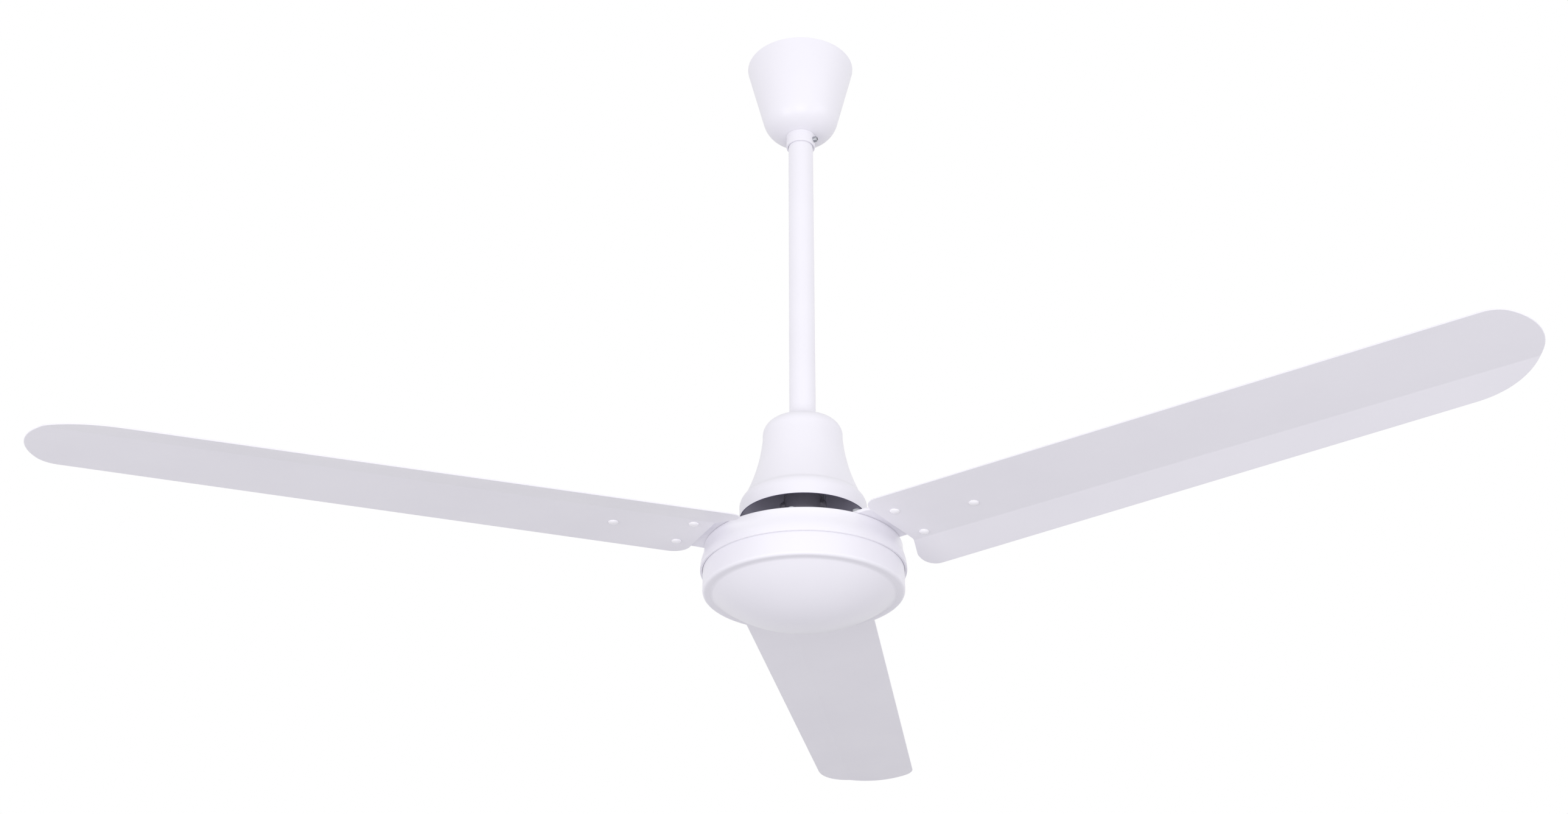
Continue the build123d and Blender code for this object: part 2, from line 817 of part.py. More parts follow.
save(circlip(shaft_radius, upper_clip_z), "upper_circlip")
save(circlip(shaft_tail_radius, lower_clip_z), "lower_circlip")

# Ball bearings: inner rings on the shaft, outer rings in the shells
for name, seat_radius, outer, level, height in (
    ("upper_bearing", shaft_radius, upper_bearing_radius, upper_bearing_level, upper_bearing_height),
    ("lower_bearing", shaft_tail_radius, lower_bearing_radius, lower_bearing_level, lower_bearing_height),
):
    race = seat_radius + bearing_ring
    save(ring(seat_radius + fit_clearance, race, blade_z + level, height), name + "_inner_ring")
    save(bearing_outer_ring(outer, race + seat_gap, blade_z + level, height), name + "_outer_ring")

# Stator core: a stack with a slot between every two teeth
half_slot_angle = radians(180 / stator_slots)
slot_root_half = yoke_radius * tan(half_slot_angle) - tooth_half / cos(half_slot_angle)
slot_shoulder_half = slot_shoulder_radius * tan(half_slot_angle) - tooth_half / cos(half_slot_angle)
with BuildPart() as stator_core:
    with BuildSketch(Plane.XY.offset(stack_bottom_z)):
        Circle(stator_radius)
        Circle(shaft_stator_radius + fit_clearance, mode=Mode.SUBTRACT)
        with PolarLocations(0, stator_slots):
            Polygon(
                (yoke_radius, -slot_root_half),
                (slot_shoulder_radius, -slot_shoulder_half),
                (slot_throat_radius, -slot_throat_half),
                (stator_radius + air_gap, -slot_throat_half),
                (stator_radius + air_gap, slot_throat_half),
                (slot_throat_radius, slot_throat_half),
                (slot_shoulder_radius, slot_shoulder_half),
                (yoke_radius, slot_root_half),
                align=None,
                mode=Mode.SUBTRACT,
            )
    extrude(amount=stack_height)
save(stator_core.part, "stator_core")

# Stator windings: one coil round every tooth, thicker outwards as the slots widen
coil_half_width = tooth_half + slot_liner
coil_thickness = coil_inner_radius * tan(half_slot_angle) - coil_half_width - coil_side_gap
coil_half_height = stack_height / 2 + slot_liner
coil_z = stack_bottom_z + stack_height / 2
coils = []
for tooth in range(stator_slots):
    tooth_face = radial_plane((tooth + 0.5) * 360 / stator_slots, coil_inner_radius, coil_z)
    with BuildPart() as coil:
        with BuildSketch(tooth_face):
            Rectangle(2 * (coil_half_width + coil_thickness), 2 * (coil_half_height + coil_thickness))
        extrude(amount=coil_outer_radius - coil_inner_radius, taper=-coil_taper)
        with BuildSketch(tooth_face):
            Rectangle(2 * coil_half_width, 2 * coil_half_height)
        extrude(amount=coil_outer_radius - coil_inner_radius, mode=Mode.SUBTRACT)
    coils.append(coil.part)
several("stator_windings", coils)

# Rotor core, with slots for the cage's bars and holes for the shell screws
with BuildPart() as rotor_core:
    with BuildSketch(Plane.XY.offset(stack_bottom_z)):
        Circle(shell_inner_radius - fit_clearance)
        Circle(rotor_bore_radius, mode=Mode.SUBTRACT)
        with PolarLocations(bar_radius, rotor_bars):
            Rectangle(bar_depth + 2 * fit_clearance, bar_width + 2 * fit_clearance, mode=Mode.SUBTRACT)
        with PolarLocations(shell_screw_circle, blade_count, start_angle=screw_azimuths[0]):
            Circle(shell_screw_radius + bolt_hole_clearance, mode=Mode.SUBTRACT)
    extrude(amount=stack_height)
save(rotor_core.part, "rotor_core")

# Rotor cage: bars through the core, joined by a ring at each end
with BuildPart() as rotor_cage:
    with BuildSketch(Plane.XY.offset(stack_bottom_z)):
        with PolarLocations(bar_radius, rotor_bars):
            Rectangle(bar_depth, bar_width)
    extrude(amount=stack_height)
    with BuildSketch(Plane.XY.offset(stack_bottom_z - cage_ring_height), Plane.XY.offset(stack_top_z)):
        Circle(bar_radius + cage_ring_half)
        Circle(bar_radius - cage_ring_half, mode=Mode.SUBTRACT)
    extrude(amount=cage_ring_height)
save(rotor_cage.part, "rotor_cage")

# Upper canopy: a tapered cup with a rounded bottom and a collar round the tube
collar_screw_z = collar_bottom_z + collar_screw_rise
collar_screw_seat = radial_plane(collar_screw_azimuth, collar_radius - seat_gap, collar_screw_z)
with BuildPart() as upper_canopy:
    with BuildSketch(Plane.XZ):
        with BuildLine():
            FilletPolyline(
                (0, canopy_base_z),
                (canopy_base_radius, canopy_base_z),
                (canopy_mouth_radius, canopy_mouth_z),
                radius=canopy_corner_radius,
            )
            offset(amount=sheet_wall, side=Side.LEFT)
        make_face()
    revolve(axis=Axis.Z)
    with BuildSketch(Plane.XY.offset(collar_bottom_z)):
        Circle(collar_radius)
    extrude(amount=collar_length + sheet_wall)
    chamfer(faces().sort_by(Axis.Z)[0].edges(), length=collar_edge)
    with BuildSketch(Plane.XY.offset(collar_bottom_z)):
        Circle(collar_bore_radius)
    extrude(amount=collar_length + 2 * sheet_wall, mode=Mode.SUBTRACT)
    with BuildSketch(collar_screw_seat):
        Circle(collar_screw_head_radius + seat_gap)
    extrude(amount=collar_screw_head_height, mode=Mode.SUBTRACT)
    with BuildSketch(collar_screw_seat):
        Circle(small_screw_radius + fit_clearance)
    extrude(amount=-collar_radius / 2, mode=Mode.SUBTRACT)
save(upper_canopy.part, "upper_canopy")
upper_canopy_screw = pan_screw(
    Plane(origin=collar_screw_seat.origin, x_dir=collar_screw_seat.x_dir, z_dir=-collar_screw_seat.z_dir),
    small_screw_radius,
    collar_screw_head_radius,
    collar_screw_head_height,
    collar_radius - rod_radius - 2 * seat_gap,
)
save(upper_canopy_screw, "upper_canopy_screw")

# Lower canopy: a bell with a flat top, a waist, a ridge and a straight rim
with BuildPart() as lower_canopy:
    with BuildSketch(Plane.XZ):
        with BuildLine():
            FilletPolyline(
                at(bell_hole_radius, bell_top_level),
                at(bell_flat_radius, bell_top_level),
                at(bell_neck_radius, bell_shoulder_level),
                at(bell_neck_radius, bell_neck_level),
                radius=(bell_flat_bend, bell_shoulder_radius),
            )
            ThreePointArc(
                at(bell_neck_radius, bell_neck_level),
                at(bell_waist_radius, bell_waist_level),
                at(bell_ridge_radius, bell_ridge_level),
            )
            ThreePointArc(
                at(bell_ridge_radius, bell_ridge_level),
                at(bell_band_radius, bell_band_level),
                at(bell_rim_radius, bell_rim_top_level),
            )
            Line(at(bell_rim_radius, bell_rim_top_level), at(bell_rim_radius, bell_rim_level))
            offset(amount=bell_wall, side=Side.RIGHT)
        make_face()
    revolve(axis=Axis.Z)
save(lower_canopy.part, "lower_canopy")
with BuildPart() as lower_canopy_grommet:
    with BuildSketch(Plane.XZ):
        with BuildLine():
            Polyline(
                at(collar_bore_radius, bell_top_level + grommet_lip_height),
                at(grommet_lip_radius, bell_top_level + grommet_lip_height),
                at(grommet_lip_radius, bell_top_level),
                at(bell_hole_radius - fit_clearance, bell_top_level),
                at(bell_hole_radius - fit_clearance, bell_top_level - bell_wall),
                at(grommet_tail_radius, bell_top_level - bell_wall),
                at(grommet_tail_radius, bell_top_level - bell_wall - grommet_tail_height),
                at(collar_bore_radius, bell_top_level - bell_wall - grommet_tail_height),
                close=True,
            )
        make_face()
    revolve(axis=Axis.Z)
save(lower_canopy_grommet.part, "lower_canopy_grommet")

# Upper motor shell: a flat top with a bearing boss, a side wall and a flared lip
upper_boss_top_level = upper_bearing_level + upper_bearing_height + boss_lip_height
with BuildPart() as upper_shell:
    with BuildSketch(Plane.XZ):
        with BuildLine():
            Polyline(
                at(upper_bearing_radius - boss_lip, upper_boss_top_level),
                at(upper_bearing_radius + boss_wall, upper_boss_top_level),
                at(upper_bearing_radius + boss_wall, shell_top_level),
                at(shell_radius, shell_top_level),
                at(shell_radius, lip_top_level),
                at(lip_radius, lip_full_level),
                at(lip_radius, lip_bottom_level),
                at(lip_inner_radius, lip_bottom_level),
                at(lip_inner_radius, lower_shell_top_level),
                at(shell_inner_radius, lower_shell_top_level),
                at(shell_inner_radius, shell_bottom_of_top_level),
                at(upper_bearing_radius + fit_clearance, shell_bottom_of_top_level),
                at(upper_bearing_radius + fit_clearance, upper_boss_top_level - boss_lip_height),
                at(upper_bearing_radius - boss_lip, upper_boss_top_level - boss_lip_height),
                close=True,
            )
        make_face()
        fillet(vertices().sort_by_distance(at(shell_radius, shell_top_level))[0], radius=shell_edge_radius)
        fillet(vertices().sort_by_distance(at(shell_radius, lip_top_level))[0], radius=lip_bend_radius)
        fillet(vertices().sort_by_distance(at(lip_radius, lip_full_level))[0], radius=lip_bend_radius)
    revolve(axis=Axis.Z)
    for azimuth in blade_azimuths:
        with BuildSketch(hub_plane(azimuth, shell_bottom_of_top_level)):
            with Locations((iron_screw_reach, 0)):
                with GridLocations(0, 2 * iron_screw_half_span, 1, 2):
                    Circle(screw_boss_radius)
        extrude(amount=-screw_boss_depth)
        with BuildSketch(hub_plane(azimuth, shell_top_level)):
            with Locations((iron_screw_reach, 0)):
                with GridLocations(0, 2 * iron_screw_half_span, 1, 2):
                    Circle(iron_screw_radius + fit_clearance)
        extrude(amount=-iron_screw_depth, mode=Mode.SUBTRACT)
    with BuildSketch(Plane.XY.offset(stack_top_z)):
        with PolarLocations(shell_screw_circle, blade_count, start_angle=screw_azimuths[0]):
            Circle(screw_boss_radius)
    extrude(amount=blade_z + shell_bottom_of_top_level - stack_top_z)
    with BuildSketch(Plane.XY.offset(stack_top_z)):
        with PolarLocations(shell_screw_circle, blade_count, start_angle=screw_azimuths[0]):
            Circle(shell_screw_radius + bolt_hole_clearance)
    extrude(amount=blade_z + shell_top_level - stack_top_z, mode=Mode.SUBTRACT)
save(upper_shell.part, "upper_shell")

# Lower motor shell: a cup with a flat floor, a bearing boss below it and posts under the rotor core
lower_floor_top_level = lower_shell_bottom_level + lower_shell_floor
lower_boss_bottom_level = lower_bearing_level - boss_lip_height
with BuildPart() as lower_shell:
    with BuildSketch(Plane.XZ):
        with BuildLine():
            Polyline(
                at(lower_shell_radius, lower_shell_top_level),
                at(lower_shell_radius, lower_shell_bottom_level),
                at(lower_bearing_radius + boss_wall, lower_shell_bottom_level),
                at(lower_bearing_radius + boss_wall, lower_boss_bottom_level),
                at(lower_bearing_radius - boss_lip, lower_boss_bottom_level),
                at(lower_bearing_radius - boss_lip, lower_bearing_level),
                at(lower_bearing_radius + fit_clearance, lower_bearing_level),
                at(lower_bearing_radius + fit_clearance, lower_floor_top_level),
                at(lower_shell_radius - lower_shell_wall, lower_floor_top_level),
                at(lower_shell_radius - lower_shell_wall, lower_shell_top_level),
                close=True,
            )
        make_face()
        fillet(
            vertices().sort_by_distance(at(lower_shell_radius, lower_shell_bottom_level))[0],
            radius=lower_shell_edge_radius,
        )
    revolve(axis=Axis.Z)
    with BuildSketch(Plane.XY.offset(blade_z + lower_shell_bottom_level)):
        Circle(cover_skirt_radius + fit_clearance)
        Circle(cover_skirt_radius - cover_wall - fit_clearance, mode=Mode.SUBTRACT)
    extrude(amount=cover_skirt_height, mode=Mode.SUBTRACT)
    with BuildSketch(Plane.XY.offset(stack_bottom_z)):
        with PolarLocations(shell_screw_circle, blade_count, start_angle=screw_azimuths[0]):
            Circle(screw_boss_radius)
    extrude(amount=blade_z + lower_floor_top_level - stack_bottom_z)
    with BuildSketch(Plane.XY.offset(stack_bottom_z)):
        with PolarLocations(shell_screw_circle, blade_count, start_angle=screw_azimuths[0]):
            Circle(shell_screw_radius + fit_clearance)
    extrude(amount=blade_z + shell_screw_end_level - stack_bottom_z, mode=Mode.SUBTRACT)
save(lower_shell.part, "lower_shell")

# Screws that draw the two shells together through the rotor core
shell_screws = []
for azimuth in screw_azimuths:
    shell_screws.append(
        pan_screw(
            Plane(
                origin=outward(azimuth) * shell_screw_circle + up * (blade_z + shell_top_level),
                x_dir=outward(azimuth),
                z_dir=-up,
            ),
            shell_screw_radius,
            shell_screw_head_radius,
            shell_screw_head_height,
            shell_top_level - shell_screw_end_level,
        )
    )
several("shell_screws", shell_screws)

# Bottom cover: a shallow dome with a skirt pressed into the floor of the lower shell
with BuildPart() as bottom_cover:
    with BuildSketch(Plane.XZ):
        with BuildLine():
            RadiusArc(
                at(cover_radius, lower_shell_bottom_level),
                at(0, lower_shell_bottom_level - cover_depth),
                radius=(cover_radius**2 + cover_depth**2) / (2 * cover_depth),
            )
            offset(amount=cover_wall, side=Side.RIGHT)
        make_face()
    revolve(axis=Axis.Z)
    split(bisect_by=Plane.XY.offset(blade_z + lower_shell_bottom_level), keep=Keep.BOTTOM)
    with BuildSketch(Plane.XY.offset(blade_z + lower_shell_bottom_level + cover_skirt_height)):
        Circle(cover_skirt_radius)
        Circle(cover_skirt_radius - cover_wall, mode=Mode.SUBTRACT)
    extrude(amount=-cover_skirt_height - cover_skirt_root)
save(bottom_cover.part, "bottom_cover")


def crease_across(reach):
    return crease_root + crease_slope * (reach - root_reach)


def trailing_across(reach):
    return trailing_edge_root + trailing_edge_slope * (reach - root_reach)


def leading_across(reach):
    return leading_edge_root + leading_edge_slope * (reach - root_reach)


rivet_places = (
    (rivet_inner_reach, blade_offset - rivet_half_span),
    (rivet_inner_reach, blade_offset + rivet_half_span),
    (rivet_outer_reach, blade_offset),
)

for number, azimuth in enumerate(blade_azimuths, start=1):
    underside = blade_plane(azimuth, 0)
    topside = blade_plane(azimuth, blade_thickness)
    motor_top = hub_plane(azimuth, shell_top_level)

    # Blade: sheet bent along its crease, then cut to its outline
    crease_line = underside.x_dir + underside.y_dir * crease_slope
    crease_start = underside.from_local_coords(Vector(0, crease_across(0), 0))
    bend_section = Plane(origin=crease_start, x_dir=underside.z_dir.cross(crease_line), z_dir=crease_line)
    with BuildPart() as blade:
        with BuildSketch(bend_section):
            with BuildLine():
                FilletPolyline(
                    (-sweep_radius / 5, 0),
                    (0, 0),
                    (sweep_radius / 5 * cos(radians(crease_angle)), -sweep_radius / 5 * sin(radians(crease_angle))),
                    radius=crease_radius,
                )
                offset(amount=blade_thickness, side=Side.LEFT)
            make_face()
        extrude(amount=sweep_radius * 1.1)
        with BuildSketch(underside):
            with BuildLine():
                FilletPolyline(
                    (root_reach, leading_across(root_reach)),
                    (root_reach, lobe_start),
                    (lobe_reach, lobe_shoulder),
                    (lobe_reach, trailing_across(lobe_reach)),
                    (tip_corner_reach, trailing_across(tip_corner_reach)),
                    (sweep_radius, tip_shoulder),
                    (sweep_radius, leading_across(sweep_radius)),
                    radius=(
                        root_corner,
                        lobe_bend,
                        lobe_shoulder_radius,
                        lobe_corner,
                        trailing_tip_corner,
                        middle_tip_corner,
                        leading_tip_corner,
                    ),
                    close=True,
                )
            make_face()
            with Locations(*rivet_places):
                Circle(rivet_shank_radius + rivet_hole_clearance, mode=Mode.SUBTRACT)
        extrude(amount=sweep_radius / 10, both=True, mode=Mode.INTERSECT)
    save(blade.part, f"blade_{number}")

    # Blade iron: flat on the motor, then twisted down to lie on the blade
    with BuildPart() as blade_iron:
        with BuildSketch(motor_top):
            with Locations(((iron_inner_reach + iron_bend_start) / 2, 0)):
                Rectangle(iron_bend_start - iron_inner_reach, 2 * iron_half_width)
            fillet(vertices().group_by(Axis.X)[0], radius=iron_corner)
            with Locations((iron_screw_reach, 0)):
                with GridLocations(0, 2 * iron_screw_half_span, 1, 2):
                    Circle(iron_screw_radius + bolt_hole_clearance, mode=Mode.SUBTRACT)
        extrude(amount=iron_thickness)
        with BuildSketch(cross_section(motor_top, iron_bend_start)):
            with Locations((0, iron_thickness / 2)):
                Rectangle(2 * iron_half_width, iron_thickness)
        with BuildSketch(cross_section(topside, iron_bend_end)):
            with Locations((0, iron_thickness / 2)):
                Rectangle(2 * iron_waist_half_width, iron_thickness)
        loft(ruled=True)
        with BuildSketch(topside):
            with BuildLine():
                FilletPolyline(
                    (rivet_outer_reach, blade_offset - iron_tip_radius),
                    (iron_neck_reach, blade_offset - iron_neck_half_width),
                    (iron_shoulder_reach, -iron_waist_half_width),
                    (iron_bend_end, -iron_waist_half_width),
                    radius=iron_side_radius,
                )
                Line((iron_bend_end, -iron_waist_half_width), (iron_bend_end, iron_waist_half_width))
                FilletPolyline(
                    (iron_bend_end, iron_waist_half_width),
                    (iron_shoulder_reach, iron_waist_half_width),
                    (iron_neck_reach, blade_offset + iron_neck_half_width),
                    (rivet_outer_reach, blade_offset + iron_tip_radius),
                    radius=iron_side_radius,
                )
                RadiusArc(
                    (rivet_outer_reach, blade_offset + iron_tip_radius),
                    (rivet_outer_reach, blade_offset - iron_tip_radius),
                    radius=iron_tip_radius,
                )
            make_face()
            with Locations(*rivet_places):
                Circle(rivet_shank_radius + rivet_hole_clearance, mode=Mode.SUBTRACT)
        extrude(amount=iron_thickness)
    save(blade_iron.part, f"blade_iron_{number}")

    # Rivets, with their low cone heads below the blade and their tails above the iron
    rivets = []
    for reach, across in rivet_places:
        foot = underside.from_local_coords(Vector(reach, across, 0))
        head_face = Plane(origin=foot, x_dir=underside.x_dir, z_dir=underside.z_dir)
        with BuildPart() as rivet:
            with BuildSketch(head_face):
                Circle(rivet_head_radius)
            extrude(amount=-rivet_head_height)
            chamfer(
                faces().sort_by(Axis(head_face.origin, head_face.z_dir))[0].edges(),
                length=rivet_head_height * 0.8,
            )
            with BuildSketch(head_face):
                Circle(rivet_shank_radius)
            extrude(amount=blade_thickness + iron_thickness)
            with BuildSketch(head_face.offset(blade_thickness + iron_thickness)):
                Circle(rivet_tail_radius)
            extrude(amount=rivet_tail_height)
            chamfer(
                faces().sort_by(Axis(head_face.origin, head_face.z_dir))[-1].edges(),
                length=rivet_tail_height * 0.7,
            )
        rivets.append(rivet.part)
    several(f"blade_rivets_{number}", rivets)

    # Screws and washers that hold the iron to the motor
    screws = []
    washers = []
    for across in (-iron_screw_half_span, iron_screw_half_span):
        on_iron = motor_top.from_local_coords(Vector(iron_screw_reach, across, iron_thickness))
        washers.append(
            washer(Plane(origin=on_iron, x_dir=motor_top.x_dir, z_dir=up), iron_screw_radius + bolt_hole_clearance)
        )
        screws.append(
            pan_screw(
                Plane(origin=on_iron + up * iron_washer_height, x_dir=motor_top.x_dir, z_dir=-up),
                iron_screw_radius,
                iron_screw_head_radius,
                iron_screw_head_height,
                iron_washer_height + iron_thickness + iron_screw_depth,
            )
        )
    several(f"iron_washers_{number}", washers)
    several(f"iron_screws_{number}", screws)
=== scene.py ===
"""Industrial ceiling fan: its visible surfaces, its finishes, its light and its camera.

Lengths are in metres. The ceiling is the plane z = 0 and the fan's axis is the Z axis. Levels of the
motor, the blades and the lower canopy are heights above BLADE_PLANE, the level at which the
undersides of the blades' leading facets would cross the axis.
"""

import logging
import math
from dataclasses import dataclass
from enum import Enum
from typing import Any, Callable, ClassVar, Mapping, Sequence

import bmesh
import bpy
import numpy as np
from mathutils import Matrix, Vector


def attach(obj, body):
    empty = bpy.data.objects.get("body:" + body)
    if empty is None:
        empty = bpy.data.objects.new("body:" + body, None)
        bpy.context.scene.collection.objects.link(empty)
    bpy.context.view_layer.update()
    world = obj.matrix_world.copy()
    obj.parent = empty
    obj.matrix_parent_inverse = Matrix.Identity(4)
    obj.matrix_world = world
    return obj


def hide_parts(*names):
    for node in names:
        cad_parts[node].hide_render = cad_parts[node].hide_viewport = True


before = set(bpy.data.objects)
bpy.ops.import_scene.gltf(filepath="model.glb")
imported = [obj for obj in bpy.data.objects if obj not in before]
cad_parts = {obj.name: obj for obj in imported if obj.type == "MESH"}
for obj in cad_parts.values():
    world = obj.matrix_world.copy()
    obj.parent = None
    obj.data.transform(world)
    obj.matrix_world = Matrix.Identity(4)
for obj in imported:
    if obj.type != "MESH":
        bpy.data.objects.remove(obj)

Points = np.ndarray
Mesh = tuple[Points, Points]
Pair = tuple[float, float]
Triple = tuple[float, float, float]
LOG = logging.getLogger("fan")
BLADE_PLANE = -0.59
BLADE_AZIMUTHS = (90.0, 210.0, 330.0)


class Body(Enum):
    """The rigid bodies that new pieces ride on."""

    ROD = "downrod"
    UPPER_CANOPY = "upper_canopy"
    LOWER_CANOPY = "lower_canopy"
    ROTOR = "rotor"


class Slot(Enum):
    """The record's finishes that new pieces take."""

    WHITE_ENAMEL = "white_enamel"
    BLADE_ENAMEL = "blade_enamel"
    PAINTED_RIVETS = "painted_rivets"
    BUSH_RUBBER = "bush_rubber"
    ZINC = "zinc_plate"


# Shading


class Value:
    """A shader socket that takes part in plain arithmetic."""

    def __init__(self, graph: "Graph", socket: bpy.types.NodeSocket | None) -> None:
        """Wraps one output socket of a graph."""
        self.graph = graph
        self.socket = socket

    def _math(self, operation: str, *values: Any) -> "Value":
        """Adds a Math node.

        Args:
            operation: The node's operation.
            values: Its values or links, in order.

        Returns:
            The node's output.
        """
        return self.graph.node("ShaderNodeMath", {"operation": operation}, dict(enumerate(values)))

    def __add__(self, other: Any) -> "Value":
        """This plus other."""
        return self._math("ADD", self, other)

    def __radd__(self, other: Any) -> "Value":
        """Other plus this."""
        return self._math("ADD", other, self)

    def __sub__(self, other: Any) -> "Value":
        """This minus other."""
        return self._math("SUBTRACT", self, other)

    def __rsub__(self, other: Any) -> "Value":
        """Other minus this."""
        return self._math("SUBTRACT", other, self)

    def __mul__(self, other: Any) -> "Value":
        """This times other."""
        return self._math("MULTIPLY", self, other)

    def __rmul__(self, other: Any) -> "Value":
        """Other times this."""
        return self._math("MULTIPLY", other, self)

    def sine(self) -> "Value":
        """Sine of this, taken as an angle in radians."""
        return self._math("SINE", self)

    def clamped(self) -> "Value":
        """This, kept from 0 to 1."""
        return self._math("MINIMUM", self._math("MAXIMUM", self, 0.0), 1.0)


class Graph:
    """The nodes of one material or of the world."""

    def __init__(self, tree: bpy.types.NodeTree) -> None:
        """Empties a tree and gets it ready for new nodes."""
        self.tree = tree
        self.tree.nodes.clear()

    def node(
        self, kind: str, settings: Mapping[str, Any], sockets: Mapping[Any, Any], output: int | str = 0
    ) -> Value:
        """Adds one node.

        Args:
            kind: The node's type.
            settings: Its properties, set first.
            sockets: Values or links of its inputs, by name or number.
            output: The output that is returned.

        Returns:
            That output, or an empty value where the node has none.
        """
        made = self.tree.nodes.new(kind)
        for name, setting in settings.items():
            setattr(made, name, setting)
        for key, value in sockets.items():
            if isinstance(value, Value):
                self.tree.links.new(value.socket, made.inputs[key])
            else:
                made.inputs[key].default_value = value
        return Value(self, made.outputs[output] if len(made.outputs) else None)

    def place(self) -> Value:
        """Object coordinates."""
        return self.node("ShaderNodeTexCoord", {}, {}, "Object")

    def noise(self, place: Value, size: float, detail: float = 2.0, roughness: float = 0.5) -> Value:
        """Soft noise.

        Args:
            place: Where it is read.
            size: Width of its largest features.
            detail: Number of finer layers.
            roughness: Weight of the finer layers.

        Returns:
            A value around 0.5.
        """
        sockets = {"Vector": place, "Scale": 1.0 / size, "Detail": detail, "Roughness": roughness}
        return self.node("ShaderNodeTexNoise", {}, sockets, "Fac")

    def stretched(self, place: Value, sizes: Triple) -> Value:
        """Coordinates counted in grains of the given length along X, Y and Z."""
        scale = tuple(1.0 / size for size in sizes)
        return self.node("ShaderNodeMapping", {}, {"Vector": place, "Scale": scale})

    def blend(self, factor: Value, first: Triple, second: Triple) -> Value:
        """Mixes two colours.

        Args:
            factor: 0 for the first colour and 1 for the second.
            first: Linear red, green and blue.
            second: Linear red, green and blue.

        Returns:
            The mixed colour.
        """
        sockets = {0: factor, 6: (*first, 1.0), 7: (*second, 1.0)}
        return self.node("ShaderNodeMix", {"data_type": "RGBA"}, sockets, 2)

    def bump(self, height: Value, depth: float, strength: float) -> Value:
        """Turns a height into a normal.

        Args:
            height: The height, from 0 to 1.
            depth: Depth of the relief.
            strength: How strongly it shows.

        Returns:
            The bent normal.
        """
        sockets = {"Height": height, "Distance": depth, "Strength": strength}
        return self.node("ShaderNodeBump", {}, sockets, "Normal")


class Finish:
    """One Principled shader, with inputs that each kind of finish works out."""

    name: str

    def inputs(self, graph: Graph) -> Mapping[str, Any]:
        """Inputs of the shader, each a value or a link."""
        raise NotImplementedError

    def material(self) -> bpy.types.Material:
        """The finish as a material."""
        material = bpy.data.materials.new(self.name)
        material.use_nodes = True
        graph = Graph(material.node_tree)
        shader = graph.node("ShaderNodeBsdfPrincipled", {}, self.inputs(graph))
        graph.node("ShaderNodeOutputMaterial", {}, {"Surface": shader})
        return material


@dataclass(frozen=True)
class Enamel(Finish):
    """Sprayed and stoved paint, with faint clouds of tone and the fine ripple of sprayed paint."""

    name: str
    colour: Triple
    cloud: Triple
    roughness: float = 0.38
    ripple_size: float = 0.0022
    ripple_depth: float = 0.00003
    coat: float = 0.12
    cloud_size: float = 0.085
    speck_size: float = 0.0011

    def inputs(self, graph: Graph) -> Mapping[str, Any]:
        """Inputs of the shader."""
        place = graph.place()
        clouds = graph.noise(place, self.cloud_size, 3.0)
        specks = graph.noise(place, self.speck_size, 3.0, 0.65)
        ripple = graph.noise(place, self.ripple_size, 2.0, 0.35)
        return {
            "Base Color": graph.blend(((clouds - 0.36) * 2.6).clamped(), self.colour, self.cloud),
            "Roughness": self.roughness + (clouds - 0.5) * 0.16 + (specks - 0.5) * 0.1,
            "Coat Weight": self.coat,
            "Coat Roughness": 0.22,
            "Specular IOR Level": 0.4,
            "Normal": graph.bump(ripple * 0.8 + specks * 0.2, self.ripple_depth, 0.6),
        }


@dataclass(frozen=True)
class Metal(Finish):
    """Bare or plated metal, with its grain drawn out along some directions."""

    name: str
    colour: Triple
    stain: Triple
    roughness: float = 0.32
    spread: float = 0.2
    grain: Triple = (0.0006, 0.0006, 0.0006)
    grain_depth: float = 0.00002
    metallic: float = 1.0
    stain_size: float = 0.012

    def inputs(self, graph: Graph) -> Mapping[str, Any]:
        """Inputs of the shader."""
        place = graph.place()
        grain = graph.noise(graph.stretched(place, self.grain), 1.0, 2.0)
        clouds = graph.noise(place, self.stain_size, 4.0, 0.6)
        tone = ((clouds - 0.35) * 1.9 + (grain - 0.5) * 0.5).clamped()
        return {
            "Base Color": graph.blend(tone, self.colour, self.stain),
            "Metallic": self.metallic,
            "Roughness": self.roughness + (clouds - 0.5) * self.spread + (grain - 0.5) * 0.15,
            "Normal": graph.bump(grain, self.grain_depth, 0.7),
        }


@dataclass(frozen=True)
class CastMetal(Finish):
    """Sand-cast or die-cast metal with a pebbled skin and darker hollows."""

    name: str
    colour: Triple
    hollow: Triple
    roughness: float = 0.62
    pebble_size: float = 0.0014
    pebble_depth: float = 0.00018
    metallic: float = 0.75
    cloud_size: float = 0.015

    def inputs(self, graph: Graph) -> Mapping[str, Any]:
        """Inputs of the shader."""
        place = graph.place()
        pebbles = graph.noise(place, self.pebble_size, 3.0, 0.6)
        clouds = graph.noise(place, self.cloud_size, 3.0)
        tone = (pebbles * 0.9 + clouds * 0.5 - 0.2).clamped()
        return {
            "Base Color": graph.blend(tone, self.hollow, self.colour),
            "Metallic": self.metallic,
            "Roughness": self.roughness + (clouds - 0.5) * 0.3,
            "Normal": graph.bump(pebbles, self.pebble_depth, 0.8),
        }


